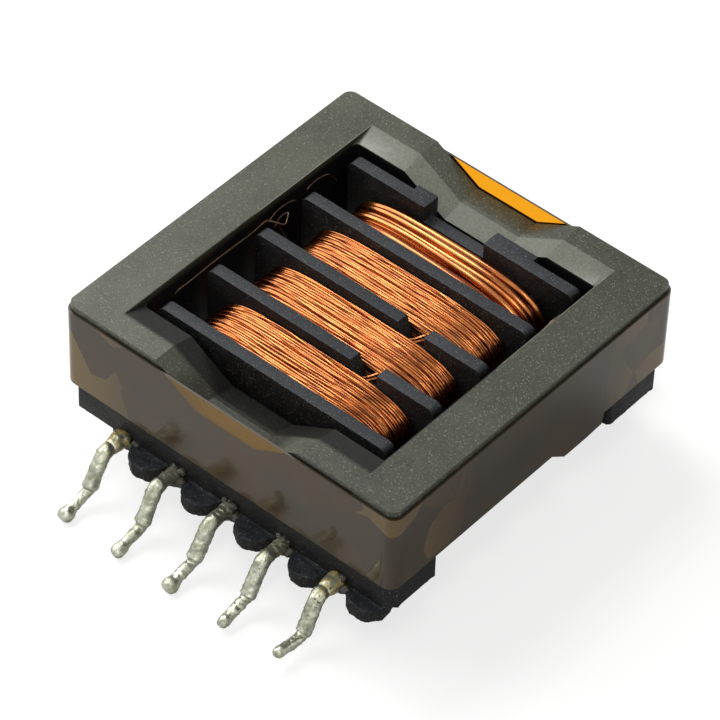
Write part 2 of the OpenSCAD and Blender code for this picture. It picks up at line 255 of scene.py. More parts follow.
def copy_of_node(frame: dict, node: str, name: str) -> bpy.types.Object:
    """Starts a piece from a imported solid, merged, with flat faces whole again.

    Args:
        node: The solid to copy.
        name: The new piece's name.

    Returns:
        The new piece, in millimetres.
    """
    mesh = frame["nodes"][node].data.copy()
    mesh.name = name
    mesh.materials.clear()
    piece = bpy.data.objects.new(name, mesh)
    bpy.context.scene.collection.objects.link(piece)
    piece.scale = (MM, MM, MM)
    focus(piece)
    bpy.ops.object.transform_apply(location=False, rotation=False, scale=True)
    if mesh.has_custom_normals:
        bpy.ops.mesh.customdata_custom_splitnormals_clear()
    recalculate(piece)
    with editing(piece, Pick.FACE):
        bpy.ops.mesh.select_all(action="SELECT")
        bpy.ops.mesh.dissolve_limited(angle_limit=math.radians(0.6))
    return piece


def finish_piece(
    piece: bpy.types.Object,
    coats: Sequence[bpy.types.Material],
    stands_for: Sequence[str] = (),
    smooth_angle: float = 40.0,
) -> bpy.types.Object:
    """Brings a piece down to metres, dresses it and ties it to the part.

    Args:
        piece: The piece, in millimetres and in place.
        coats: Its materials, in the order of its slots.
        stands_for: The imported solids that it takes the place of.
        smooth_angle: The angle below which neighbouring faces shade as one, in degrees.

    Returns:
        The same piece.
    """
    focus(piece)
    piece.scale = tuple(s / MM for s in piece.scale)
    bpy.ops.object.transform_apply(location=True, rotation=True, scale=True)
    bpy.ops.object.shade_smooth_by_angle(angle=math.radians(smooth_angle))
    if len(piece.data.materials) == 0:
        for coat in coats:
            piece.data.materials.append(coat)
    else:
        for i, coat in enumerate(coats):
            piece.data.materials[i] = coat
    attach(piece, "root")
    if stands_for:
        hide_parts(*stands_for)
    LOG.info("%s: %d faces", piece.name, len(piece.data.polygons))
    return piece


def box_mm(node: str) -> tuple[Vector, Vector]:
    """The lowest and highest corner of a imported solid, in millimetres."""
    low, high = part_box(node)
    return low * MM, high * MM


def tube_along(name: str, lines: Sequence[Sequence[Point]], diameter: float) -> bpy.types.Object:
    """Makes round wires along smooth lines and turns them to a mesh.

    Args:
        name: The piece's name.
        lines: The points of each wire, in millimetres.
        diameter: The wire's diameter, in millimetres.

    Returns:
        The wires as one mesh piece.
    """
    curve = bpy.data.curves.new(name, "CURVE")
    curve.dimensions = "3D"
    curve.bevel_depth = diameter / 2
    curve.bevel_resolution = 2
    curve.use_fill_caps = True
    for line in lines:
        spline = curve.splines.new("POLY")
        spline.points.add(len(line) - 1)
        for point, place in zip(spline.points, line):
            point.co = (*place, 1.0)
    piece = bpy.data.objects.new(name, curve)
    bpy.context.scene.collection.objects.link(piece)
    focus(piece)
    bpy.ops.object.convert(target="MESH")
    piece = bpy.context.view_layer.objects.active
    recalculate(piece, 0.0002)
    return piece


def smooth_line(points: Sequence[Point], steps: int = 6) -> list[Point]:
    """Draws a smooth line through given points.

    Args:
        points: The points to pass through.
        steps: How many pieces each stretch is divided into.

    Returns:
        The line's points.
    """
    places = [Vector(p) for p in points]
    line: list[Point] = []
    for i in range(len(places) - 1):
        a, b, c, d = (places[max(0, min(len(places) - 1, i + k))] for k in (-1, 0, 1, 2))
        for s in range(steps):
            t = s / steps
            bend, twist = 2 * a - 5 * b + 4 * c - d, 3 * b - a - 3 * c + d
            line.append(tuple(0.5 * (2 * b + (c - a) * t + bend * t * t + twist * t ** 3)))
    line.append(tuple(places[-1]))
    return line


# ---- Finishes ----


class Bench:
    """A material's node tree, with short calls to add and join its nodes."""

    def __init__(self, name: str) -> None:
        """Starts an empty material.

        Args:
            name: The material's name.
        """
        self.material = bpy.data.materials.new(name)
        self.material.use_nodes = True
        self.tree = self.material.node_tree
        self.tree.nodes.clear()
        self.out = self.tree.nodes.new("ShaderNodeOutputMaterial")
        self.shell = self.tree.nodes.new("ShaderNodeBsdfPrincipled")
        self.join(self.shell.outputs["BSDF"], self.out.inputs["Surface"])

    def join(self, source: bpy.types.NodeSocket, target: bpy.types.NodeSocket) -> None:
        """Links one socket to another."""
        self.tree.links.new(source, target)

    def node(self, kind: str, **settings: object) -> bpy.types.Node:
        """Adds a node.

        Args:
            kind: The node's type.
            settings: Attributes of the node to set.

        Returns:
            The new node.
        """
        made = self.tree.nodes.new(kind)
        for name, value in settings.items():
            setattr(made, name, value)
        return made

    def shared(self, group: bpy.types.NodeTree, **values: float) -> bpy.types.Node:
        """Places a shared group with this material's own values.

        Args:
            group: The group's tree.
            values: Its inputs by name, with underscores for spaces.

        Returns:
            The group node.
        """
        made = self.node("ShaderNodeGroup", node_tree=group)
        for name, value in values.items():
            made.inputs[name.replace("_", " ")].default_value = value
        return made

    def blend(self, mask: bpy.types.NodeSocket, low: object, high: object) -> bpy.types.NodeSocket:
        """Mixes two colours by a mask.

        Args:
            mask: The socket that says how much of the second shows.
            low: The first colour, as a socket or as three numbers.
            high: The second colour, likewise.

        Returns:
            The mixed colour's socket.
        """
        mix = self.node("ShaderNodeMix", data_type="RGBA")
        self.join(mask, mix.inputs[0])
        for value, target in ((low, mix.inputs[6]), (high, mix.inputs[7])):
            if isinstance(value, bpy.types.NodeSocket):
                self.join(value, target)
            else:
                target.default_value = (*value, 1.0)
        return mix.outputs[2]

    def remap(
        self, value: bpy.types.NodeSocket, start: float, end: float, low: float, high: float
    ) -> bpy.types.NodeSocket:
        """Maps a value from one range to another and clamps it.

        Args:
            value: The socket to read.
            start: Where the read range starts.
            end: Where it ends.
            low: The result at its start.
            high: The result at its end.

        Returns:
            The result's socket.
        """
        made = self.node("ShaderNodeMapRange")
        self.join(value, made.inputs["Value"])
        for name, number in (("From Min", start), ("From Max", end), ("To Min", low), ("To Max", high)):
            made.inputs[name].default_value = number
        return made.outputs["Result"]

    def maths(self, operation: str, a: object, b: object) -> bpy.types.NodeSocket:
        """Works one sum on two values, each a socket or a number.

        Args:
            operation: The Math node's operation.
            a: The first value.
            b: The second value.

        Returns:
            The result's socket.
        """
        made = self.node("ShaderNodeMath", operation=operation)
        for value, target in ((a, made.inputs[0]), (b, made.inputs[1])):
            if isinstance(value, bpy.types.NodeSocket):
                self.join(value, target)
            else:
                target.default_value = value
        return made.outputs[0]

    def times(self, first: object, *others: object) -> bpy.types.NodeSocket:
        """Multiplies values, each a socket or a number.

        Args:
            first: The first value.
            others: The others.

        Returns:
            The product's socket.
        """
        for other in others:
            first = self.maths("MULTIPLY", first, other)
        return first

    def rest_of(self, value: bpy.types.NodeSocket) -> bpy.types.NodeSocket:
        """What a mask leaves of one."""
        return self.maths("SUBTRACT", 1.0, value)

    def facing(self) -> bpy.types.Node:
        """Adds the direction that the surface faces, split into X, Y and Z."""
        shape = self.node("ShaderNodeNewGeometry")
        split = self.node("ShaderNodeSeparateXYZ")
        self.join(shape.outputs["Normal"], split.inputs[0])
        return split

    def coat(self, colour: bpy.types.NodeSocket, rough: bpy.types.NodeSocket) -> None:
        """Feeds the shell's colour and roughness."""
        self.join(colour, self.shell.inputs["Base Color"])
        self.join(rough, self.shell.inputs["Roughness"])

    def grain(
        self, effects: SharedEffects,
        coarse: float, fine: float, share: float, strength: float, distance: float,
    ) -> None:
        """Gives the surface the shared grain.

        Args:
            effects: The shared groups.
            coarse: The scale of the coarse grain.
            fine: The scale of the fine grain.
            share: How much of the fine grain there is.
            strength: How much of the height shows.
            distance: The height of one, in metres.
        """
        height = self.shared(effects.grain, Coarse=coarse, Fine=fine, Share=share)
        self.bump(height.outputs[0], strength, distance)

    def place(self) -> bpy.types.Node:
        """Adds the object's own coordinates, split into X, Y and Z, in metres."""
        coordinates = self.node("ShaderNodeTexCoord")
        split = self.node("ShaderNodeSeparateXYZ")
        self.join(coordinates.outputs["Object"], split.inputs[0])
        return split

    def bump(self, height: bpy.types.NodeSocket, strength: float, distance: float) -> None:
        """Feeds a height to the shell's normal.

        Args:
            height: The socket that holds the height.
            strength: How much of it shows.
            distance: The height of one, in metres.
        """
        made = self.node("ShaderNodeBump")
        made.inputs["Strength"].default_value = strength
        made.inputs["Distance"].default_value = distance
        self.join(height, made.inputs["Height"])
        self.join(made.outputs["Normal"], self.shell.inputs["Normal"])

    def plain(self, **values: object) -> None:
        """Sets numbers and colours that are the same all over on the shell itself.

        Args:
            values: Socket names, with underscores for spaces, and their values.
        """
        for name, value in values.items():
            self.shell.inputs[name.replace("_", " ")].default_value = value


class SharedEffects:
    """Effects that more than one finish uses, each a node group built once."""

    def __init__(self) -> None:
        """Builds the groups."""
        self.specks = self._specks()
        self.mottling = self._mottling()
        self.grain = self._grain()

    @staticmethod
    def _group(name: str, inputs: dict[str, float], outputs: Sequence[str]) -> bpy.types.NodeTree:
        """Starts a group with named number sockets.

        Args:
            name: The group's name.
            inputs: Its inputs and their defaults.
            outputs: Its outputs.

        Returns:
            The group's tree.
        """
        tree = bpy.data.node_groups.new(name, "ShaderNodeTree")
        for label, value in inputs.items():
            socket = tree.interface.new_socket(name=label, in_out="INPUT", socket_type="NodeSocketFloat")
            socket.default_value = value
        for label in outputs:
            tree.interface.new_socket(name=label, in_out="OUTPUT", socket_type="NodeSocketFloat")
        tree.nodes.new("NodeGroupInput").name = "in"
        tree.nodes.new("NodeGroupOutput").name = "out"
        return tree

    @staticmethod
    def _noise(tree: bpy.types.NodeTree, detail: float, rough: float) -> bpy.types.Node:
        """Adds a noise pattern on the object's own coordinates.

        Args:
            tree: The group's tree.
            detail: The pattern's detail.
            rough: The pattern's roughness.

        Returns:
            The noise node.
        """
        place = tree.nodes.new("ShaderNodeTexCoord")
        noise = tree.nodes.new("ShaderNodeTexNoise")
        noise.inputs["Detail"].default_value = detail
        noise.inputs["Roughness"].default_value = rough
        tree.links.new(place.outputs["Object"], noise.inputs["Vector"])
        return noise

    def _specks(self) -> bpy.types.NodeTree:
        """Small separate specks: a mask that is one on a speck."""
        tree = self._group("small specks", {"Scale": 9000.0, "Amount": 0.3}, ["Mask"])
        noise = self._noise(tree, 1.0, 0.4)
        start, end = tree.nodes["in"], tree.nodes["out"]
        tree.links.new(start.outputs["Scale"], noise.inputs["Scale"])
        edge = tree.nodes.new("ShaderNodeMath")
        edge.operation = "SUBTRACT"
        edge.inputs[0].default_value = 1.0
        tree.links.new(start.outputs["Amount"], edge.inputs[1])
        cut = tree.nodes.new("ShaderNodeMapRange")
        tree.links.new(noise.outputs["Fac"], cut.inputs["Value"])
        tree.links.new(edge.outputs[0], cut.inputs["From Min"])
        above = tree.nodes.new("ShaderNodeMath")
        above.inputs[1].default_value = 0.05
        tree.links.new(edge.outputs[0], above.inputs[0])
        tree.links.new(above.outputs[0], cut.inputs["From Max"])
        tree.links.new(cut.outputs["Result"], end.inputs["Mask"])
        return tree

    def _mottling(self) -> bpy.types.NodeTree:
        """Soft uneven patches: a mask from none to one."""
        tree = self._group("soft mottling", {"Scale": 900.0, "Contrast": 1.0}, ["Mask"])
        noise = self._noise(tree, 4.0, 0.62)
        start, end = tree.nodes["in"], tree.nodes["out"]
        tree.links.new(start.outputs["Scale"], noise.inputs["Scale"])
        middle = tree.nodes.new("ShaderNodeMath")
        middle.operation = "SUBTRACT"
        middle.inputs[1].default_value = 0.5
        tree.links.new(noise.outputs["Fac"], middle.inputs[0])
        gain = tree.nodes.new("ShaderNodeMath")
        gain.operation = "MULTIPLY"
        tree.links.new(middle.outputs[0], gain.inputs[0])
        tree.links.new(start.outputs["Contrast"], gain.inputs[1])
        back = tree.nodes.new("ShaderNodeMath")
        back.use_clamp = True
        back.inputs[1].default_value = 0.5
        tree.links.new(gain.outputs[0], back.inputs[0])
        tree.links.new(back.outputs[0], end.inputs["Mask"])
        return tree

    def _grain(self) -> bpy.types.NodeTree:
        """A coarse and a fine grain added up: a height."""
        tree = self._group("moulded grain", {"Coarse": 3000.0, "Fine": 16000.0, "Share": 0.5}, ["Height"])
        start, end = tree.nodes["in"], tree.nodes["out"]
        coarse = self._noise(tree, 2.0, 0.5)
        fine = self._noise(tree, 2.0, 0.6)
        tree.links.new(start.outputs["Coarse"], coarse.inputs["Scale"])
        tree.links.new(start.outputs["Fine"], fine.inputs["Scale"])
        mix = tree.nodes.new("ShaderNodeMix")
        tree.links.new(start.outputs["Share"], mix.inputs[0])
        tree.links.new(coarse.outputs["Fac"], mix.inputs[2])
        tree.links.new(fine.outputs["Fac"], mix.inputs[3])
        tree.links.new(mix.outputs[0], end.inputs["Height"])
        return tree


@dataclass(frozen=True)
class FerriteFinish:
    """Pressed and sintered ferrite, matt and a little green, with finer pale wear and a painted glint on
    its edges.

    The top is painted lighter towards the minus X bar. The walls of the window, the front recess and lip
    and the sloped faces of the rear half carry painted shade, and the rear bevel strips a painted
    highlight.
    """

    dark: Colour = (0.0085, 0.0095, 0.0055)
    pale: Colour = (0.074, 0.078, 0.050)
    speck: Colour = (0.17, 0.173, 0.128)
    # Pale colour of the narrow edges: wear, and a painted glint.
    worn: Colour = (0.30, 0.30, 0.24)
    # Painted shade colour for the window walls, the front recess and the rear slopes.
    stain_and_painted_shade: Colour = (0.0085, 0.008, 0.0085)
    # Painted highlight colour for the rear bevel strips.
    strip_highlight: Colour = (0.20, 0.21, 0.165)
    half_width: float = 7.5
    window: float = 5.6
    lip: float = 6.57
    top: float = 7.05

    def make(self, effects: SharedEffects, edge: bool) -> bpy.types.Material:
        """Makes the body's material or the edges'.

        Args:
            effects: The shared groups.
            edge: Whether this coat is for the narrow edges.

        Returns:
            The material.
        """
        bench = Bench("ferrite_edge" if edge else "ferrite_body")
        patches = bench.shared(effects.mottling, Scale=480.0, Contrast=2.2)
        dust = bench.shared(effects.mottling, Scale=9000.0, Contrast=2.6)
        place = bench.place()
        # Painted light: the body's tone is painted lighter towards the minus X bar, where the left lamp
        # falls, and darker towards plus X.
        painted_side_light = bench.remap(place.outputs["X"], -self.half_width / MM, self.half_width / MM, 0.5, 0.2)
        tone = bench.times(painted_side_light, bench.maths("ADD", patches.outputs[0], 0.3))
        cloud = bench.shared(effects.mottling, Scale=2600.0, Contrast=2.4)
        tone = bench.maths("ADD", tone, bench.times(cloud.outputs[0], 0.16))
        tone = bench.maths("ADD", tone, bench.times(dust.outputs[0], 0.34))
        colour = bench.blend(tone, self.dark, self.pale)
        specks = bench.shared(effects.specks, Scale=15000.0, Amount=0.36)
        colour = bench.blend(bench.times(specks.outputs[0], 0.8), colour, self.speck)
        # The narrow edges are painted paler all along as a painted glint, and more where chips of wear
        # fall.
        if edge:
            chips = bench.shared(effects.mottling, Scale=1900.0, Contrast=5.0)
            wear = bench.remap(chips.outputs[0], 0.0, 1.0, 0.12, 0.8)
            colour = bench.blend(wear, colour, self.worn)
        # Painted shade: faces that do not face up, inside the window and below the top, are painted near
        # black.
        across = bench.maths("ABSOLUTE", place.outputs["X"], 0.0)
        inside = bench.remap(across, (self.window + 0.02) / MM, (self.window + 0.05) / MM, 1.0, 0.0)
        facing = bench.facing()
        upward = bench.remap(facing.outputs["Z"], 0.35, 0.6, 0.0, 1.0)
        deep_shade = bench.remap(place.outputs["Z"], (self.top - 0.35) / MM, (self.top - 0.07) / MM, 1.0, 0.0)
        walls = bench.times(inside, deep_shade, bench.rest_of(upward))
        # Painted shade: the front recess floor and the front lip's inner bevel are painted dark.
        low = bench.remap(place.outputs["Z"], (self.top - 0.75) / MM, (self.top - 0.35) / MM, 0.55, 0.0)
        lip = bench.remap(place.outputs["Y"], -(self.lip + 0.1) / MM, -(self.lip - 0.1) / MM, 0.0, 0.85)
        front = bench.remap(place.outputs["Y"], 0.0, 0.0005, 1.0, 0.0)
        recess_shade = bench.times(bench.maths("MAXIMUM", lip, low), front, inside, upward)
        painted_shade = bench.maths("MAXIMUM", walls, recess_shade)
        # Painted highlight: flat and bevelled faces inside the window on the rear half, chiefly the rear
        # bevel strips, are painted a paler grey.
        rear = bench.remap(place.outputs["Y"], (self.lip - 0.02) / MM, (self.lip + 0.02) / MM, 1.0, 0.0)
        rear = bench.times(rear, inside, bench.rest_of(front))
        flat = bench.remap(facing.outputs["Z"], 0.91, 0.95, 0.0, 0.6)
        strip_highlight_mask = bench.times(rear, flat, bench.remap(dust.outputs[0], 0.0, 1.0, 0.6, 1.0))
        colour = bench.blend(strip_highlight_mask, colour, self.strip_highlight)
        # Painted shade: sloped upward faces on the rear half, most of all the recess slopes by the rear
        # lip, are painted dark.
        slope = bench.remap(facing.outputs["Z"], 0.89, 0.93, 0.6, 0.0)
        near = bench.remap(place.outputs["Y"], (self.lip - 0.9) / MM, (self.lip + 0.4) / MM, 1.0, 0.35)
        slope = bench.times(upward, slope, near, bench.rest_of(front))
        painted_shade = bench.maths("MAXIMUM", painted_shade, slope)
        # The painted shade colour goes on last, and the painted shade also lowers the gloss.
        colour = bench.blend(painted_shade, colour, self.stain_and_painted_shade)
        bench.coat(colour, bench.remap(patches.outputs[0], 0.0, 1.0, 0.26, 0.34))
        bench.join(bench.remap(painted_shade, 0.0, 1.0, 0.36, 0.08), bench.shell.inputs["Specular IOR Level"])
        bench.grain(effects, 5200.0, 21000.0, 0.55, 0.35, 0.000012)
        return bench.material


@dataclass(frozen=True)
class FormerFinish:
    """Black glass-filled plastic with a mottled bloom and worn edges; its upward faces carry a painted
    blue-grey top light.
    """

    black: Colour = (0.0065, 0.006, 0.0062)
    bloom: Colour = (0.014, 0.0135, 0.0135)
    # Blue-grey colour of the painted top light on upward faces.
    top_light_tint: Colour = (0.021, 0.024, 0.029)
    fibre: Colour = (0.12, 0.125, 0.12)
    worn: Colour = (0.085, 0.09, 0.095)

    def make(self, effects: SharedEffects, edge: bool) -> bpy.types.Material:
        """Makes the body's material or the edges'.

        Args:
            effects: The shared groups.
            edge: Whether this coat is for the narrow edges.

        Returns:
            The material.
        """
        bench = Bench("former_edge" if edge else "former_body")
        patches = bench.shared(effects.mottling, Scale=1500.0, Contrast=2.6)
        colour = bench.blend(patches.outputs[0], self.black, self.bloom)
        facing = bench.facing()
        # Painted top light: faces that look up are painted a lighter blue-grey, broken up by a mottle.
        painted_top_light = bench.remap(facing.outputs["Z"], 0.55, 0.9, 0.0, 1.0)
        film = bench.shared(effects.mottling, Scale=3400.0, Contrast=2.4)
        painted_top_light = bench.times(painted_top_light, bench.remap(film.outputs[0], 0.0, 1.0, 0.45, 1.0))
        colour = bench.blend(painted_top_light, colour, self.top_light_tint)
        fibres = bench.shared(effects.specks, Scale=17000.0, Amount=0.34)
        colour = bench.blend(bench.times(fibres.outputs[0], 0.8), colour, self.fibre)
        if edge:
            rub = bench.shared(effects.mottling, Scale=3000.0, Contrast=4.0)
            upper = bench.remap(facing.outputs["Z"], -0.1, 0.7, 0.12, 0.7)
            colour = bench.blend(bench.times(rub.outputs[0], upper), colour, self.worn)
        bench.coat(colour, bench.remap(patches.outputs[0], 0.0, 1.0, 0.45, 0.62))
        bench.plain(Specular_IOR_Level=0.2)
        bench.grain(effects, 3600.0, 12000.0, 0.5, 0.6, 0.00003)
        return bench.material


@dataclass(frozen=True)
class CopperFinish:
    """Enamelled copper wire of mottled tone, with thin stripes of painted highlight and painted shade
    along the wire.
    """

    # Wire tone colours; in the stripes the dark end stands for painted shade and the bright end for
    # painted highlight.
    deep_shade: Colour = (0.085, 0.019, 0.007)
    bright: Colour = (0.70, 0.245, 0.068)

    def make(self, effects: SharedEffects, use: SheenOf) -> bpy.types.Material:
        """Makes the wire's material.

        Args:
            effects: The shared groups.
            use: Which wire it is for.

        Returns:
            The material.
        """
        bench = Bench(f"copper_{use.name.lower()}")
        coordinates = bench.node("ShaderNodeTexCoord")
        stretch = bench.node("ShaderNodeMapping")
        stretch.inputs["Scale"].default_value = (0.05, 1.0, 0.35)
        bench.join(coordinates.outputs["Object"], stretch.inputs["Vector"])
        # Painted highlight and shade: thin stripes along the wire, lighter and darker at random, over a
        # mottle.
        painted_stripes = bench.node("ShaderNodeTexNoise")
        painted_stripes.inputs["Scale"].default_value = use.value
        painted_stripes.inputs["Detail"].default_value = 2.0
        bench.join(stretch.outputs["Vector"], painted_stripes.inputs["Vector"])
        lines = bench.remap(painted_stripes.outputs["Fac"], 0.4, 0.64, 0.0, 1.0)
        patches = bench.shared(effects.mottling, Scale=900.0, Contrast=1.6)
        tone = bench.maths("ADD", bench.times(lines, 0.62), bench.times(patches.outputs[0], 0.38))
        colour = bench.blend(tone, self.deep_shade, self.bright)
        bench.coat(colour, bench.remap(patches.outputs[0], 0.0, 1.0, 0.2, 0.3))
        bench.plain(Metallic=1.0, Coat_Weight=0.2, Coat_Roughness=0.12)
        bench.grain(effects, 9000.0, 26000.0, 0.4, 0.25, 0.000006)
        return bench.material


@dataclass(frozen=True)
class TapeFinish:
    """Clear amber polyester film over dark adhesive, pale where it has lifted from the core, with a
    painted backlit glow where it spans the recesses and a painted amber glow along its lower cut edge.
    """

    tint: Colour = (0.97, 0.63, 0.12)
    body: Colour = (0.040, 0.030, 0.018)
    brown: Colour = (0.062, 0.036, 0.014)
    lifted: Colour = (0.15, 0.095, 0.030)
    # Bright amber painted backlight, for the film where it spans the recesses.
    open: Colour = (0.27, 0.16, 0.035)
    upper_rim: Colour = (0.035, 0.022, 0.008)
    # Painted glow colour for the lower cut edge.
    lower_rim_glow: Colour = (0.55, 0.36, 0.11)
    veil_outside: float = 0.62
    veil_inside: float = 0.12
    recess_floor: float = 5.95
    recess_half: float = 1.35
    recess_flare: float = 1.773

    def outside(self, effects: SharedEffects, half: float) -> bpy.types.Material:
        """Makes the material of the film's glossy outer face.

        Args:
            effects: The shared groups.
            half: Half of the band's width, in millimetres.

        Returns:
            The material.
        """
        bench = Bench("amber_film_outside")
        place = bench.place()
        patches = bench.shared(effects.mottling, Scale=300.0, Contrast=3.0)
        across = bench.maths("ABSOLUTE", place.outputs["X"], 0.0)
        along = bench.maths("ABSOLUTE", place.outputs["Y"], 0.0)
        reach = bench.maths("ADD", across, along)
        corner = bench.remap(reach, (2 * half - 4.2) / MM, (2 * half - 0.6) / MM, 0.0, 1.0)
        cells = bench.node("ShaderNodeTexVoronoi")
        cells.inputs["Scale"].default_value = 620.0
        bench.join(bench.node("ShaderNodeTexCoord").outputs["Object"], cells.inputs["Vector"])
        shade = bench.node("ShaderNodeSeparateColor")
        bench.join(cells.outputs["Color"], shade.inputs[0])
        lifted = bench.times(corner, bench.remap(shade.outputs[0], 0.5, 0.56, 0.0, 1.0))
        colour = bench.blend(patches.outputs[0], self.body, self.brown)
        colour = bench.blend(lifted, colour, self.lifted)
        # Painted backlight: where the film spans a recess, clear of the core, its colour turns a bright
        # amber; there it also lets some light through.
        above = bench.maths("SUBTRACT", place.outputs["Z"], self.recess_floor / MM)
        rise = bench.times(above, self.recess_flare)
        room = bench.maths("SUBTRACT", bench.maths("ADD", rise, self.recess_half / MM), across)
        backlit_free_zone = bench.times(
            bench.remap(room, 0.0, 0.00003, 0.0, 1.0),
            bench.remap(rise, 0.0, 0.00002, 0.0, 1.0),
            bench.remap(along, (half - 0.3) / MM, (half - 0.25) / MM, 0.0, 1.0),
        )
        colour = bench.blend(backlit_free_zone, colour, self.open)
        bench.coat(colour, bench.remap(patches.outputs[0], 0.0, 1.0, 0.05, 0.10))
        bench.plain(IOR=1.52, Specular_IOR_Level=0.3)
        waves = bench.shared(effects.mottling, Scale=240.0, Contrast=1.0)
        bench.bump(waves.outputs[0], 0.25, 0.00006)
        behind = bench.node("ShaderNodeNewGeometry").outputs["Backfacing"]
        veil = bench.remap(behind, 0.0, 1.0, self.veil_outside, self.veil_inside)
        self._let_through(bench, bench.maths("MAXIMUM", bench.rest_of(backlit_free_zone), veil))
        return bench.material

    def inside(self) -> bpy.types.Material:
        """Makes the material of the film's clear inner face."""
        bench = Bench("amber_film_inside")
        bench.plain(Base_Color=(*self.body, 1.0), Roughness=0.3)
        self._let_through(bench, 0.02)
        return bench.material

    def rim(self, effects: SharedEffects, low: float) -> bpy.types.Material:
        """Makes the material of the film's cut edges, dark above, with a painted amber glow towards the
        bottom.

        Args:
            effects: The shared groups.
            low: The band's lower edge, in millimetres.

        Returns:
            The material.
        """
        bench = Bench("amber_film_rim")
        height = bench.remap(bench.place().outputs["Z"], (low + 0.5) / MM, (low + 2.5) / MM, 0.0, 1.0)
        patches = bench.shared(effects.mottling, Scale=1500.0, Contrast=3.0)
        # Painted glow: the lower part of the cut edge is painted a bright amber.
        painted_glow = bench.blend(patches.outputs[0], self.brown, self.lower_rim_glow)
        colour = bench.blend(height, painted_glow, self.upper_rim)
        bench.coat(colour, bench.remap(patches.outputs[0], 0.0, 1.0, 0.35, 0.5))
        return bench.material

    def _let_through(self, bench: Bench, share: object) -> None:
        """Lets tinted light through a film's face.

        Args:
            bench: The material's nodes.
            share: How much of the light stays on the face, as a socket or a number.
        """
        clear = bench.node("ShaderNodeBsdfTransparent")
        clear.inputs["Color"].default_value = (*self.tint, 1.0)
        mix = bench.node("ShaderNodeMixShader")
        if isinstance(share, bpy.types.NodeSocket):
            bench.join(share, mix.inputs[0])
        else:
            mix.inputs[0].default_value = share
        bench.join(clear.outputs[0], mix.inputs[1])
        bench.join(bench.shell.outputs[0], mix.inputs[2])
        bench.join(mix.outputs[0], bench.out.inputs["Surface"])


@dataclass(frozen=True)
class TinFinish:
    """Hot-dipped tin, grey and uneven, with traces of yellow flux and black scorch."""

    grey: Colour = (0.24, 0.25, 0.18)
    bright: Colour = (0.62, 0.63, 0.51)
    flux: Colour = (0.50, 0.36, 0.08)
    scorch: Colour = (0.012, 0.011, 0.01)
    face: float = 7.3

    def make(self, effects: SharedEffects, name: str, flux: float, scorch: float) -> bpy.types.Material:
        """Makes the tin's material.

        Args:
            effects: The shared groups.
            name: The material's name.
            flux: How much flux lies near the root, from none to one.
            scorch: How much of it is scorched, from none to one.

        Returns:
            The material.
        """
        bench = Bench(name)
        place = bench.place()
        patches = bench.shared(effects.mottling, Scale=2600.0, Contrast=3.0)
        colour = bench.blend(patches.outputs[0], self.grey, self.bright)
        out = bench.maths("ABSOLUTE", place.outputs["Y"], 0.0)
        near = bench.remap(out, (self.face + 0.2) / MM, (self.face + 1.5) / MM, 1.0, 0.0)
        stain_and_painted_shade = bench.shared(effects.mottling, Scale=4200.0, Contrast=5.0)
        yellow = bench.times(near, stain_and_painted_shade.outputs[0], flux)
        colour = bench.blend(yellow, colour, self.flux)
        specks = bench.shared(effects.specks, Scale=8200.0, Amount=0.36)
        reach = bench.remap(out, (self.face + 0.9) / MM, (self.face + 2.2) / MM, 1.0, 0.15)
        burnt = bench.times(specks.outputs[0], reach, scorch)
        colour = bench.blend(burnt, colour, self.scorch)
        bench.coat(colour, bench.remap(patches.outputs[0], 0.0, 1.0, 0.42, 0.24))
        dull = bench.maths("MAXIMUM", burnt, yellow)
        bench.join(bench.remap(dull, 0.0, 1.0, 0.88, 0.0), bench.shell.inputs["Metallic"])
        bench.grain(effects, 3800.0, 15000.0, 0.4, 0.6, 0.00004)
        return bench.material


@dataclass(frozen=True)
class CrumbFinish:
    """Black, lumpy crumbs under the stubs of the terminals, flecked with grey."""

    dark_lump: Colour = (0.010, 0.010, 0.009)
    lump_grey: Colour = (0.10, 0.085, 0.045)

    def make(self, effects: SharedEffects) -> bpy.types.Material:
        """Makes the crumbs' material.

        Args:
            effects: The shared groups.

        Returns:
            The material.
        """
        bench = Bench("dark_lumps")
        patches = bench.shared(effects.mottling, Scale=6000.0, Contrast=3.5)
        colour = bench.blend(bench.times(patches.outputs[0], 0.5), self.dark_lump, self.lump_grey)
        bench.coat(colour, bench.remap(patches.outputs[0], 0.0, 1.0, 0.2, 0.5))
        bench.grain(effects, 7000.0, 20000.0, 0.5, 0.6, 0.00004)
        return bench.material


# ---- The ferrite core ----


@dataclass
class FerriteCore:
    """The two E-shaped halves, with rounded, worn edges carrying a painted glint everywhere but at their
    joint.
    """

    frame: dict
    effects: SharedEffects
    edge_round: float = 0.06
    finish: FerriteFinish = field(default_factory=FerriteFinish)

    def build(self) -> list[bpy.types.Object]:
        """Builds and dresses both halves.

        Returns:
            The two pieces.
        """
        coats = (self.finish.make(self.effects, False), self.finish.make(self.effects, True))
        return [self._half(node, coats) for node in ("core_half_front", "core_half_rear")]

    def _half(self, node: str, coats: Sequence[bpy.types.Material]) -> bpy.types.Object:
        """Rounds one half's edges and dresses it.

        Args:
            node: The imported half.
            coats: The body's and the edges' materials.

        Returns:
            The piece.
        """
        piece = copy_of_node(self.frame, node, f"ferrite_{node.rsplit('_', 1)[1]}")
        for coat in coats:
            piece.data.materials.append(coat)
        choose_sharp(piece, 12.0, lambda a, b: abs(a.y) > 0.08 or abs(b.y) > 0.08)
        with editing(piece, Pick.EDGE):
            bpy.ops.mesh.bevel(
                offset=self.edge_round, segments=3, affect="EDGES", clamp_overlap=True, material=1
            )
        return finish_piece(piece, coats, [node], 50.0)


# ---- The winding former ----


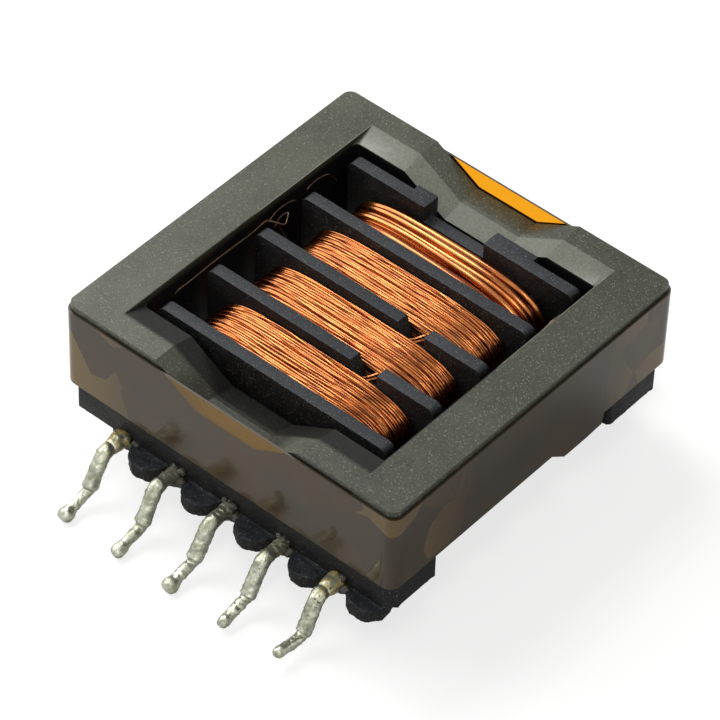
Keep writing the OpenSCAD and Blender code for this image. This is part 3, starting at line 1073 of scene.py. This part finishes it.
@dataclass
class WindingFormer:
    """The moulded former with its flanges and rails, softened along every edge."""

    frame: dict
    effects: SharedEffects
    edge_round: float = 0.1
    foot_top: float = 1.89
    coarse: float = 0.07
    finish: FormerFinish = field(default_factory=FormerFinish)

    def build(self) -> list[bpy.types.Object]:
        """Builds and dresses the former.

        Returns:
            The piece, in a list.
        """
        coats = (self.finish.make(self.effects, False), self.finish.make(self.effects, True))
        piece = self._part("winding_former", "DIFFERENCE", coats)
        level = self.foot_top
        choose_sharp(piece, 30.0, lambda a, b: abs(a.z - level) > 0.01 or abs(b.z - level) > 0.01)
        with editing(piece, Pick.EDGE):
            bpy.ops.mesh.bevel(
                offset=self.edge_round, segments=3, affect="EDGES", clamp_overlap=True, material=1
            )
        foot = self._part("lobed_foot", "INTERSECT", coats)
        modify(foot, "REMESH", mode="VOXEL", voxel_size=self.coarse)
        roughen(foot, 0.5, 0.12)
        roughen(foot, 0.16, 0.05)
        focus(piece)
        foot.select_set(True)
        bpy.ops.object.join()
        return [finish_piece(piece, coats, ["bobbin"], 50.0)]

    def _part(self, name: str, operation: str, coats: Sequence[bpy.types.Material]) -> bpy.types.Object:
        """Copies the former and keeps what is above or below the top of its lobed feet.

        Args:
            name: The part's name.
            operation: DIFFERENCE to keep the upper part, INTERSECT to keep the feet.
            coats: The body's and the edges' materials.

        Returns:
            The part.
        """
        part = copy_of_node(self.frame, "bobbin", name)
        for coat in coats:
            part.data.materials.append(coat)
        bpy.ops.object.select_all(action="DESELECT")
        bpy.ops.mesh.primitive_cube_add(size=1.0, location=(0, 0, self.foot_top - 5))
        cutter = bpy.context.object
        cutter.scale = (30, 30, 10)
        bpy.ops.object.transform_apply(location=True, rotation=True, scale=True)
        modify(part, "BOOLEAN", object=cutter, operation=operation, solver="EXACT")
        focus(cutter)
        bpy.ops.object.delete()
        return part


# ---- The windings ----


@dataclass
class WoundSection:
    """One section of the winding: turns of wire laid side by side, with strays on top."""

    name: str
    node: str
    wire: float
    layers: Sequence[tuple[int, float, float]]
    seed: int
    slot: str
    square: float = 4.1
    rear_gap: float = 0.0
    body_share: Point = (0.9, 0.96, 0.72)
    steps: int = 96

    def build(self, frame: dict, coat: bpy.types.Material) -> bpy.types.Object:
        """Builds the dark body under the turns and the turns themselves.

        Args:
            coat: The wire's material.

        Returns:
            The piece.
        """
        low, high = box_mm(self.node)
        dice = random.Random(self.seed)
        lines = []
        for turns, sink, wander in self.layers:
            lines += self._layer(dice, low, high, turns, sink, wander)
        wires = tube_along(self.name, lines, self.wire)
        body = copy_of_node(frame, self.node, f"{self.name}_body")
        with editing(body, Pick.VERTEX):
            bpy.ops.mesh.select_all(action="SELECT")
            middle = (low + high) / 2
            bpy.ops.transform.resize(value=self.body_share, center_override=tuple(middle))
        focus(wires)
        body.select_set(True)
        bpy.ops.object.join()
        return finish_piece(wires, [coat], [self.node], 60.0)

    def _layer(
        self, dice: random.Random, low: Vector, high: Vector, turns: int, sink: float, wander: float
    ) -> list[list[Point]]:
        """Lays one layer of turns as one wire.

        Args:
            dice: The source of the wire's unevenness.
            low: The section's lowest corner.
            high: Its highest corner.
            turns: How many turns lie side by side.
            sink: How far the layer lies below the outside of the section.
            wander: How far a turn strays to either side.

        Returns:
            The layer's wires, each as a line of points.
        """
        radius = self.wire / 2
        low, high = low.copy(), high.copy()
        high.y -= self.rear_gap
        middle = (low + high) / 2
        half_x = (high.x - low.x) / 2 - radius - sink
        half_z = (high.z - low.z) / 2 - radius - sink
        room = (high.y - low.y) / 2 - radius - 0.005
        pitch = 2 * room / max(1, turns - 1)
        line: list[Point] = []
        waves = self._waves(dice)
        for k in range(turns):
            base = -room + k * pitch
            lift = dice.uniform(-0.1, 0.14) * self.wire
            square = self.square * dice.uniform(0.94, 1.06)
            for s in range(self.steps):
                share = s / self.steps
                angle = 2 * math.pi * share - math.pi / 2
                c, n = math.cos(angle), math.sin(angle)
                x = math.copysign(abs(c) ** (2 / square), c)
                z = math.copysign(abs(n) ** (2 / square), n)
                turn = k + share
                sway = wander * self._sway(waves, turn, x)
                y = max(-room, min(room, base + share * pitch + sway))
                rise = 1 + lift / half_z * (0.6 + 0.4 * self._sway(waves, turn + 7.3, -x))
                out = half_x * x * min(rise, 1.02)
                line.append((middle.x + out, middle.y + y, middle.z + half_z * z * rise))
        return [line]

    @staticmethod
    def _waves(dice: random.Random) -> list[tuple[float, float, float]]:
        """Draws the slow waves that turns follow: their size, pace and start."""
        return [(dice.uniform(0.3, 1.0), dice.uniform(0.7, 3.2), dice.uniform(0, 6.28)) for _ in range(6)]

    @staticmethod
    def _sway(waves: Sequence[tuple[float, float, float]], turn: float, x: float) -> float:
        """How far a turn strays at one place, from about minus one to one.

        Args:
            waves: The slow waves.
            turn: The turn's number, with its share of the way round.
            x: The place across the section, from minus one to one.

        Returns:
            The stray.
        """
        total = 0.0
        for i, (size, pace, start) in enumerate(waves):
            step = (5.1 + 3.7 * i) * math.floor(turn)
            total += size * math.sin(start + pace * x * 1.6 + step + 0.8 * turn)
        return total / 2.6


@dataclass
class Windings:
    """The three fine sections and the heavy one, with the strands between them."""

    frame: dict
    effects: SharedEffects
    fine_wire: float = 0.11
    heavy_wire: float = 0.3
    loose_wire: float = 0.055
    step_sink: float = 0.36
    finish: CopperFinish = field(default_factory=CopperFinish)
    loose_routes: Sequence[Sequence[Point]] = (
        (
            (-4.5, 1.2, 4.95), (-5.2, 1.15, 5.9), (-5.38, 0.7, 6.58), (-5.36, -0.3, 6.6),
            (-5.37, -2.1, 6.62), (-5.34, -3.5, 6.6), (-5.4, -4.2, 6.45), (-5.4, -4.3, 5.6),
            (-5.4, -4.3, 3.7), (-5.4, -4.35, 1.85), (-5.0, -4.75, 1.46), (-5.0, -5.9, 1.5),
            (-5.0, -6.9, 1.5), (-5.0, -7.3, 1.44), (-5.0, -7.72, 1.44),
        ),
        (
            (-5.28, 0.55, 6.62), (-5.43, 1.1, 6.62), (-5.46, 1.7, 6.6),
            (-5.4, 2.15, 6.5), (-5.3, 2.3, 6.2),
        ),
        (
            (-5.25, 0.6, 6.66), (-5.05, 0.75, 6.6), (-4.9, 1.0, 6.45), (-5.0, 1.25, 6.5),
            (-5.15, 1.45, 6.55), (-5.3, 1.2, 6.4), (-5.3, 0.9, 6.1),
        ),
        (
            (-5.36, 2.7, 6.66), (-5.42, 3.05, 6.68), (-5.46, 3.55, 6.62),
            (-5.4, 4.0, 6.5), (-5.3, 4.3, 6.1),
        ),
        (
            (5.2, 2.75, 6.2), (5.3, 3.1, 6.5), (5.36, 3.6, 6.68),
            (5.4, 4.05, 6.62), (5.38, 4.3, 6.3),
        ),
    )
    # A darker, shaded copy of the copper finish: painted shade on the thin loose wire ends.
    shaded_loose_finish: CopperFinish = CopperFinish((0.03, 0.018, 0.010), (0.16, 0.095, 0.055))

    def build(self) -> list[bpy.types.Object]:
        """Builds and dresses every section and wire end.

        Returns:
            The new pieces.
        """
        fine = self.finish.make(self.effects, SheenOf.FINE)
        heavy = self.finish.make(self.effects, SheenOf.HEAVY)
        made = []
        for i in (1, 2, 3):
            section = WoundSection(
                name=f"fine_winding_{i}",
                node=f"secondary_coil_{i}",
                wire=self.fine_wire,
                layers=((19, 0.12, 0.015), (18, 0.05, 0.03), (7, 0.0, 0.16)),
                seed=40 + i,
                slot="fine_copper",
            )
            made.append(section.build(self.frame, fine))
        section = WoundSection(
            name="heavy_winding",
            node="primary_coil",
            wire=self.heavy_wire,
            layers=((6, 0.16, 0.02), (4, 0.0, 0.07)),
            seed=71,
            slot="heavy_copper",
            square=3.3,
            rear_gap=0.2,
        )
        made.append(section.build(self.frame, heavy))
        made += [self._step_over(i, fine) for i in (1, 2)]
        made.append(self._loose_ends(self.shaded_loose_finish.make(self.effects, SheenOf.LOOSE)))
        for name, node in self.frame["nodes"].items():
            if name == "secondary_start_lead":
                node.data.materials.clear()
                node.data.materials.append(fine)
            elif name.startswith(("primary_start", "primary_finish")):
                node.data.materials.clear()
                node.data.materials.append(heavy)
        return made

    def _step_over(self, number: int, coat: bpy.types.Material) -> bpy.types.Object:
        """Lays two strands low through the passage between two sections.

        Args:
            number: The crossover's number, from one.
            coat: The wire's material.

        Returns:
            The piece.
        """
        low, high = box_mm(f"crossover_wire_{number}")
        middle = (low + high) / 2
        level = high.z - self.step_sink
        lines = []
        for side in (-0.16, 0.12):
            x, y = middle.x + side, middle.y
            lines.append(smooth_line([
                (x - 0.75, y - 0.95, level - 0.1), (x - 0.3, y - 0.45, level),
                (x, y, level - 0.03 + side * 0.3),
                (x + 0.3, y + 0.45, level), (x + 0.75, y + 0.95, level - 0.1),
            ]))
        piece = tube_along(f"crossover_{number}", lines, self.fine_wire)
        return finish_piece(piece, [coat], [f"crossover_wire_{number}"], 60.0)

    def _loose_ends(self, coat: bpy.types.Material) -> bpy.types.Object:
        """Runs the thin wire ends that lie along the flanges' left ends, then under the rail.

        Args:
            coat: The wire's material.

        Returns:
            The piece.
        """
        routes = [smooth_line(route) for route in self.loose_routes]
        piece = tube_along("loose_wire_ends", routes, self.loose_wire)
        return finish_piece(piece, [coat], ["secondary_finish_lead"], 60.0)


# ---- The tape ----


@dataclass
class TapeBand:
    """The amber band round the core, slightly wavy, with its loose end hanging."""

    effects: SharedEffects
    thickness: float = 0.08
    width: float = 3.45
    corner: float = 0.45
    tail_start: float = 1.0
    tail_length: float = 2.9
    tail_hang: float = 0.55
    finish: TapeFinish = field(default_factory=TapeFinish)

    def build(self) -> list[bpy.types.Object]:
        """Builds and dresses the band.

        Returns:
            The piece, in a list.
        """
        low, high = box_mm("core_tape")
        bottom = high.z - self.width
        bpy.ops.object.select_all(action="DESELECT")
        bpy.ops.mesh.primitive_cube_add(size=1.0, location=(0, 0, (bottom + high.z) / 2))
        piece = bpy.context.object
        piece.name = "tape_band"
        piece.scale = (high.x - low.x, high.y - low.y, self.width)
        bpy.ops.object.transform_apply(location=True, rotation=True, scale=True)
        choose(piece, Pick.FACE, lambda at, normal: abs(normal.z) > 0.9)
        with editing(piece, Pick.FACE):
            bpy.ops.mesh.delete(type="ONLY_FACE")
        choose(piece, Pick.EDGE, lambda at, along: abs(along.z) > 0.5)
        with editing(piece, Pick.EDGE):
            bpy.ops.mesh.bevel(offset=self.corner, segments=6, affect="EDGES")
        self._cut_rows(piece, bottom)
        self._hang_tail(piece, bottom, high.x)
        coats = (
            self.finish.outside(self.effects, high.x),
            self.finish.inside(),
            self.finish.rim(self.effects, bottom),
        )
        for coat in coats:
            piece.data.materials.append(coat)
        modify(
            piece, "SOLIDIFY", thickness=self.thickness, offset=-1.0,
            material_offset=1, material_offset_rim=2,
        )
        return [finish_piece(piece, coats, ["core_tape"], 35.0)]

    def _cut_rows(self, piece: bpy.types.Object, bottom: float) -> None:
        """Cuts the band into rows and columns, so that it can be bent.

        Args:
            piece: The open band.
            bottom: Its lower edge.
        """
        cuts = [((0, 0, bottom + 0.05 + i * 0.57), (0, 0, 1)) for i in range(6)]
        cuts += [((0, -7.0 + i, 0), (0, 1, 0)) for i in range(15)]
        cuts += [((-7.0 + i, 0, 0), (1, 0, 0)) for i in range(15)]
        for share in (0.0, 0.25, 0.97, 1.0):
            cuts.append(((0, self.tail_start + self.tail_length * share, 0), (0, 1, 0)))
        for place, normal in cuts:
            with editing(piece, Pick.FACE):
                bpy.ops.mesh.select_all(action="SELECT")
                bpy.ops.mesh.bisect(plane_co=place, plane_no=normal)

    def _hang_tail(self, piece: bpy.types.Object, bottom: float, side: float) -> None:
        """Draws the loose end down below the band.

        Args:
            piece: The open band.
            bottom: Its lower edge.
            side: The band's outer face at the tail.
        """
        start, end = self.tail_start, self.tail_start + self.tail_length
        rows = (
            (start + self.tail_length * 0.2, end - 0.5, self.tail_hang),
            (end - 0.2, end - 0.02, self.tail_hang * 0.9),
        )
        for a, b, drop in rows:
            found = choose(
                piece, Pick.VERTEX,
                lambda at, normal, a=a, b=b: at.x > side - 0.1 and a <= at.y <= b and at.z < bottom + 0.01,
            )
            if found:
                with editing(piece, Pick.VERTEX):
                    bpy.ops.transform.translate(value=(0, 0, -drop))


# ---- The terminals ----


@dataclass
class TerminalShape:
    """How one terminal differs from the straight drawing of it."""

    sway: tuple[float, float, float] = (0.0, 0.0, 0.0)
    thick: float = 1.0
    lift: float = 0.0
    flux: float = 0.0
    scorch: float = 0.3
    collar: float = 0.0
    bead: float = 0.95

    def cleaner(self) -> TerminalShape:
        """The same shape bent the other way, level and with less flux, for the rear rail."""
        away = tuple(-v for v in self.sway)
        return TerminalShape(away, flux=self.flux * 0.6, scorch=self.scorch * 0.5)


@dataclass
class Terminals:
    """Ten gull-wing terminals of tinned wire, five along each rail."""

    effects: SharedEffects
    pitch: float = 2.5
    face: float = 7.3
    root: float = 1.69
    level: float = 1.91
    run: float = 1.1
    leg_slope: float = 59.0
    foot_slope: float = 15.0
    foot_reach: float = 1.15
    bend: float = 0.36
    tip_level: float = 0.27
    stub_radius: float = 0.265
    leg_radius: float = 0.295
    foot_radius: float = 0.215
    bead_radius: float = 0.31
    step: float = 0.08
    sides: int = 14
    finish: TinFinish = field(default_factory=TinFinish)
    shapes: Sequence[TerminalShape] = (
        TerminalShape((0.0, 0.02, 0.0), 1.0, 0.0, 0.9, 0.3, 0.03, 0.98),
        TerminalShape((0.0, -0.02, 0.02), 1.0, 0.0, 0.25, 0.4, 0.0, 0.9),
        TerminalShape((0.02, 0.03, -0.02), 1.03, 0.0, 0.2, 0.75, 0.0, 1.04),
        TerminalShape((-0.01, 0.02, 0.02), 1.0, 0.1, 0.3, 0.65, 0.0, 0.78),
        TerminalShape((0.02, -0.03, 0.03), 1.0, 0.45, 0.8, 1.0, 0.05, 0.76),
    )

    def build(self) -> list[bpy.types.Object]:
        """Builds and dresses both rows.

        Returns:
            The ten pieces.
        """
        made = []
        for side in Side:
            for i, shape in enumerate(self.shapes):
                name = f"terminal_{side.name.lower()}_{i + 1}"
                if side is Side.REAR:
                    shape = shape.cleaner()
                coat_name = f"tin_{side.name.lower()}_{i + 1}"
                coat = self.finish.make(self.effects, coat_name, shape.flux, shape.scorch)
                made.append(self._terminal(name, side, i, shape, coat))
        return made

    def centre_line(self, lift: float) -> list[tuple[float, float, float]]:
        """The wire's middle as [distance out from the rail, height, heading] at even steps.

        Args:
            lift: How far the foot's tip is bent up.

        Returns:
            The stations along the wire. The heading is in radians above the horizontal.
        """
        knee_level = self.tip_level + self.foot_reach * math.tan(math.radians(self.foot_slope))
        knee_out = self.run + (self.level - knee_level) / math.tan(math.radians(self.leg_slope))
        corners = [
            Vector((-self.root, self.level)),
            Vector((self.run, self.level)),
            Vector((knee_out, knee_level)),
            Vector((knee_out + self.foot_reach, self.tip_level + lift)),
        ]
        line: list[Vector] = [corners[0]]
        for a, b, c in zip(corners, corners[1:], corners[2:]):
            into, away = (b - a).normalized(), (c - b).normalized()
            turn = into.angle_signed(away)
            cut = self.bend * math.tan(abs(turn) / 2)
            start = b - into * cut
            for k in range(7):
                share = k / 6
                spot = start.lerp(b, share).lerp(b.lerp(b + away * cut, share), share)
                line.append(spot)
        line.append(corners[-1])
        return self._even_steps(line)

    def _even_steps(self, line: Sequence[Vector]) -> list[tuple[float, float, float]]:
        """Divides a line into even steps.

        Args:
            line: The line's points.

        Returns:
            The stations, each with its heading.
        """
        lengths = [(b - a).length for a, b in zip(line, line[1:])]
        total = sum(lengths)
        count = max(2, round(total / self.step))
        stations = []
        for k in range(count + 1):
            want = total * k / count
            i = 0
            while i < len(lengths) - 1 and want > lengths[i]:
                want -= lengths[i]
                i += 1
            a, b = line[i], line[i + 1]
            spot = a.lerp(b, min(1.0, want / max(lengths[i], 1e-9)))
            away = b - a
            stations.append((spot.x, spot.y, math.atan2(away.y, away.x)))
        return stations

    def _radius(self, out: float, shape: TerminalShape, dice: random.Random) -> float:
        """The wire's radius at a station.

        Args:
            out: Its distance out from the rail.
            shape: How this terminal differs.
            dice: The source of its unevenness.

        Returns:
            The radius, in millimetres.
        """
        if out < -0.05:
            return self.stub_radius
        knee = 2.0
        if out < self.run - 0.25:
            size = self.stub_radius + shape.collar * max(0.0, 1 - out / 0.8)
        elif out < knee - 0.15:
            size = self.leg_radius
        else:
            size = self.foot_radius
        size += 0.03 * math.exp(-((out - knee + 0.16) / 0.09) ** 2)
        return size * shape.thick + dice.uniform(-0.01, 0.01)

    def _terminal(
        self, name: str, side: Side, index: int, shape: TerminalShape, coat: bpy.types.Material
    ) -> bpy.types.Object:
        """Draws one terminal out of a disc, ring by ring, and makes it lumpy.

        Args:
            name: The piece's name.
            side: The rail it stands on.
            index: Its place along the rail, from none.
            shape: How it differs.
            coat: Its material.

        Returns:
            The piece.
        """
        dice = random.Random(500 + index + (50 if side is Side.REAR else 0))
        stations = self.centre_line(shape.lift)
        total = len(stations) - 1
        rings = []
        wave, ripple, drift = shape.sway
        for out, level, heading in stations:
            along = max(0.0, out) / 3.1
            sway = wave * math.sin(3.1 * along) + ripple * math.sin(6.2 * along) + drift * along
            rings.append((sway, out, level, heading, self._radius(out, shape, dice)))
        out, level, heading = stations[-1]
        full = self.bead_radius
        for ahead, radius in ((-0.16, 0.28), (-0.05, full), (0.07, full), (0.18, 0.26), (0.26, 0.16)):
            tip_out, tip_level = out + ahead * math.cos(heading), level + ahead * math.sin(heading)
            rings.append((rings[total][0], tip_out, tip_level, heading, radius * shape.bead))
        rings = [r for k, r in enumerate(rings) if k > total or r[1] < out - 0.24]
        piece = self._draw(name, (index - 2) * self.pitch, rings)
        modify(piece, "SUBSURF", levels=1, render_levels=1)
        roughen(piece, 0.3, 0.06)
        roughen(piece, 0.11, 0.055)
        choose(piece, Pick.VERTEX, lambda at, normal: at.z < 0.0)
        with editing(piece, Pick.VERTEX):
            bpy.ops.transform.resize(value=(1, 1, 0), center_override=(0, 0, 0))
        piece.rotation_euler = (0, 0, side.value)
        node = f"{side.name.lower()}_pin_{index + 1}"
        return finish_piece(piece, [coat], [node], 60.0)

    def _draw(self, name: str, x: float, rings: Sequence[Ring]) -> bpy.types.Object:
        """Draws a closed wire through rings, at the front rail.

        Args:
            name: The piece's name.
            x: The terminal's place along the rail.
            rings: Each ring's sway, distance out, height, heading and radius.

        Returns:
            The piece.
        """
        sway, out, level, heading, radius = rings[0]
        bpy.ops.object.select_all(action="DESELECT")
        bpy.ops.mesh.primitive_circle_add(
            vertices=self.sides, radius=radius, fill_type="NGON",
            location=(x + sway, -self.face - out, level), rotation=(math.pi / 2, 0, 0),
        )
        piece = bpy.context.object
        piece.name = name
        bpy.ops.object.transform_apply(location=True, rotation=True, scale=True)
        before = rings[0]
        with editing(piece, Pick.FACE):
            bpy.ops.mesh.select_all(action="SELECT")
            for ring in rings[1:]:
                step = (ring[0] - before[0], before[1] - ring[1], ring[2] - before[2])
                middle = (x + ring[0], -self.face - ring[1], ring[2])
                bpy.ops.mesh.extrude_region_move(TRANSFORM_OT_translate={"value": step})
                bpy.ops.transform.rotate(
                    value=ring[3] - before[3], orient_axis="X", center_override=middle
                )
                scale = ring[4] / before[4]
                bpy.ops.transform.resize(value=(scale, scale, scale), center_override=middle)
                before = ring
        recalculate(piece)
        return piece


@dataclass
class Joints:
    """Solder round the terminals that carry a wire end, and dark crumbs under the stubs of the front
    terminals.
    """

    effects: SharedEffects
    terminals: Terminals
    profile: Sequence[tuple[float, float]] = (
        (0.02, 0.2), (0.03, 0.33), (0.15, 0.385), (0.32, 0.37),
        (0.5, 0.35), (0.68, 0.315), (0.8, 0.27), (0.82, 0.2),
    )
    # Where the dark crumbs sit by each front terminal: X from it, out, height, size.
    crumbs: Sequence[Sequence[Spot]] = (
        ((0.3, 0.1, 1.72, 0.24), (0.52, 0.06, 1.9, 0.16)),
        (
            (0.3, 0.16, 1.7, 0.27), (0.08, 0.3, 1.6, 0.2),
            (0.26, 0.08, 2.08, 0.17), (-0.02, 0.1, 2.16, 0.12),
        ),
        (
            (0.3, 0.14, 1.72, 0.26), (0.05, 0.26, 1.62, 0.2),
            (0.18, 0.12, 2.12, 0.17), (-0.16, 0.1, 2.1, 0.13),
        ),
        (
            (0.3, 0.12, 1.74, 0.25), (0.06, 0.2, 1.62, 0.18),
            (0.14, 0.1, 2.16, 0.16), (-0.18, 0.06, 2.08, 0.13),
        ),
        ((0.34, 0.14, 1.76, 0.25), (0.2, 0.1, 2.16, 0.16), (-0.1, 0.24, 1.6, 0.19)),
    )

    def build(self) -> list[bpy.types.Object]:
        """Builds and dresses the solder and the dark crumbs.

        Returns:
            The pieces.
        """
        made = []
        coat = self.terminals.finish.make(self.effects, "solder_skin", 1.0, 0.8)
        for side, index in ((Side.FRONT, 0), (Side.FRONT, 4), (Side.REAR, 1), (Side.REAR, 3)):
            made.append(self._sleeve(side, index, coat))
        dark_lump = CrumbFinish().make(self.effects)
        for index, spots in enumerate(self.crumbs):
            made += [self._crumb(index, k, spot, dark_lump) for k, spot in enumerate(spots)]
        return made

    def _sleeve(self, side: Side, index: int, coat: bpy.types.Material) -> bpy.types.Object:
        """Draws the solder up round a root.

        Args:
            side: The rail.
            index: The terminal's place along the rail.
            coat: The solder's material.

        Returns:
            The piece.
        """
        t = self.terminals
        dice = random.Random(900 + index)
        rings = []
        for out, radius in self.profile:
            aside, level = dice.uniform(-0.02, 0.02), t.level + dice.uniform(-0.015, 0.015)
            rings.append((aside, out, level, 0.0, radius))
        piece = t._draw(f"solder_{side.name.lower()}_{index + 1}", (index - 2) * t.pitch, rings)
        modify(piece, "SUBSURF", levels=1, render_levels=1)
        roughen(piece, 0.22, 0.11)
        roughen(piece, 0.09, 0.05)
        piece.rotation_euler = (0, 0, side.value)
        return finish_piece(piece, [coat], [f"{side.name.lower()}_solder_{index + 1}"], 60.0)

    def _crumb(
        self, index: int, number: int, spot: Spot, coat: bpy.types.Material
    ) -> bpy.types.Object:
        """Sets one dark crumb against the rail.

        Args:
            index: The terminal's place along the rail.
            number: The crumb's number at that terminal.
            spot: Its place from the terminal, and its size.
            coat: Its material.

        Returns:
            The piece.
        """
        t = self.terminals
        aside, out, level, size = spot
        x, y = (index - 2) * t.pitch + aside, -t.face - out
        bpy.ops.object.select_all(action="DESELECT")
        bpy.ops.mesh.primitive_ico_sphere_add(
            subdivisions=3, radius=size, location=(x, y + 0.05, level)
        )
        piece = bpy.context.object
        piece.name = f"flux_crumb_{index + 1}_{number + 1}"
        bpy.ops.object.transform_apply(location=True, rotation=True, scale=True)
        with editing(piece, Pick.VERTEX):
            bpy.ops.mesh.select_all(action="SELECT")
            bpy.ops.transform.resize(value=(1.25, 1.1, 0.8), center_override=(x, y, level))
        roughen(piece, 0.16, 0.14)
        return finish_piece(piece, [coat], (), 60.0)


# ---- The studio ----


@dataclass
class Studio:
    """The camera, the lamps, the pale floor and the white surroundings."""

    azimuth: float = 39.287
    elevation: float = 45.389
    roll: float = 2.180
    distance: float = 153.13
    aside: float = -0.390
    above: float = -2.373
    lens: float = 219.6
    target: Point = (0.0, 0.0, 7.05)
    floor_size: float = 1.6
    floor_pale: Colour = (0.84, 0.84, 0.83)
    floor_seen: Colour = (0.34, 0.34, 0.335)
    floor_glow: float = 0.74
    daylight: float = 0.2

    def build(self) -> None:
        """Sets up the whole studio."""
        bpy.context.scene.view_settings.view_transform = "Standard"
        self._camera()
        self._lamp("left_softbox", (-0.80, -0.02, 0.60), 0.14, (0.17, 0.12), 0.21)
        self._lamp("overhead_softbox", (-0.445, 0.146, 0.885), 0.16, (0.045, 0.04), 0.085)
        self._lamp("ceiling_strip", (0.2, -0.25, 0.93), 0.16, (0.022, 0.07), 0.035)
        self._lamp("front_fill", (0.45, -0.8, 0.42), 0.22, (0.12, 0.12), 0.05)
        self._floor()
        self._surroundings()

    def _camera(self) -> None:
        """Places the camera at the portrait's viewing angle."""
        az, el, roll = (math.radians(v) for v in (self.azimuth, self.elevation, self.roll))
        back = Vector((math.sin(az) * math.cos(el), -math.cos(az) * math.cos(el), math.sin(el)))
        right = Vector((math.cos(az), math.sin(az), 0.0))
        up = back.cross(right)
        across = right * math.cos(roll) + up * math.sin(roll)
        upward = up * math.cos(roll) - right * math.sin(roll)
        shift = back * self.distance + across * self.aside + upward * self.above
        place = (Vector(self.target) + shift) / MM
        data = bpy.data.cameras.new("portrait_camera")
        data.sensor_width = 36.0
        data.lens = self.lens
        data.clip_start, data.clip_end = 0.005, 10.0
        camera = bpy.data.objects.new("portrait_camera", data)
        turn = Matrix((across, upward, back)).transposed().to_4x4()
        camera.matrix_world = Matrix.Translation(place) @ turn
        bpy.context.scene.collection.objects.link(camera)
        bpy.context.scene.camera = camera

    @staticmethod
    def _lamp(name: str, towards: Point, distance: float, size: tuple[float, float], power: float) -> None:
        """Hangs one soft lamp that faces the part.

        Args:
            name: The lamp's name.
            towards: Its direction from the part.
            distance: Its distance, in metres.
            size: The width and height of its face, in metres.
            power: Its power, in watts.
        """
        data = bpy.data.lights.new(name, "AREA")
        data.shape = "RECTANGLE"
        data.size, data.size_y = size
        data.energy = power
        lamp = bpy.data.objects.new(name, data)
        direction = Vector(towards).normalized()
        lamp.location = direction * distance
        lamp.rotation_euler = direction.to_track_quat("Z", "Y").to_euler()
        bpy.context.scene.collection.objects.link(lamp)

    def _floor(self) -> None:
        """Lays the pale floor that keeps the part's soft shadow."""
        bpy.ops.object.select_all(action="DESELECT")
        bpy.ops.mesh.primitive_plane_add(size=self.floor_size, location=(0, 0, 0))
        floor = bpy.context.object
        floor.name = "studio_floor"
        bench = Bench("pale_floor")
        bench.plain(Roughness=0.85, Specular_IOR_Level=0.1)
        path = bench.node("ShaderNodeLightPath")
        eye = path.outputs["Is Camera Ray"]
        bench.join(bench.blend(eye, self.floor_pale, self.floor_seen), bench.shell.inputs["Base Color"])
        seen = bench.times(eye, self.floor_glow)
        bench.shell.inputs["Emission Color"].default_value = (1.0, 1.0, 1.0, 1.0)
        bench.join(seen, bench.shell.inputs["Emission Strength"])
        floor.data.materials.append(bench.material)

    def _surroundings(self) -> None:
        """Makes the surroundings white to the eye and in reflections, and plain daylight otherwise."""
        world = bpy.data.worlds.new("white_surroundings")
        bpy.context.scene.world = world
        world.use_nodes = True
        tree = world.node_tree
        tree.nodes.clear()
        out = tree.nodes.new("ShaderNodeOutputWorld")
        path = tree.nodes.new("ShaderNodeLightPath")
        first = tree.nodes.new("ShaderNodeMath")
        first.operation = "MAXIMUM"
        both = tree.nodes.new("ShaderNodeMath")
        both.operation = "MAXIMUM"
        tree.links.new(path.outputs["Is Camera Ray"], first.inputs[0])
        tree.links.new(path.outputs["Is Glossy Ray"], first.inputs[1])
        tree.links.new(first.outputs[0], both.inputs[0])
        tree.links.new(path.outputs["Is Transmission Ray"], both.inputs[1])
        daylight = tree.nodes.new("ShaderNodeBackground")
        daylight.inputs["Color"].default_value = (1.0, 1.0, 1.0, 1.0)
        daylight.inputs["Strength"].default_value = self.daylight
        white = tree.nodes.new("ShaderNodeBackground")
        white.inputs["Color"].default_value = (1.0, 1.0, 1.0, 1.0)
        white.inputs["Strength"].default_value = 1.0
        mix = tree.nodes.new("ShaderNodeMixShader")
        tree.links.new(both.outputs[0], mix.inputs[0])
        tree.links.new(daylight.outputs[0], mix.inputs[1])
        tree.links.new(white.outputs[0], mix.inputs[2])
        tree.links.new(mix.outputs[0], out.inputs["Surface"])


def corners(bounds: tuple[Vector, Vector]) -> list[list[float]]:
    """Turns a box into plain lists of numbers."""
    return [list(map(float, corner)) for corner in bounds]


def main() -> None:
    """Builds the part's pieces in order, then the studio."""
    logging.basicConfig(level=logging.INFO, format="%(name)s: %(message)s")
    random.seed(7)
    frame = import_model()
    effects = SharedEffects()
    terminals = Terminals(effects)
    for assembly in (
        FerriteCore(frame, effects),
        WindingFormer(frame, effects),
        Windings(frame, effects),
        TapeBand(effects),
        terminals,
        Joints(effects, terminals),
    ):
        made = assembly.build()
        LOG.info("%s: %d pieces", type(assembly).__name__, len(made))
    Studio().build()


if __name__ == "__main__":
    main()
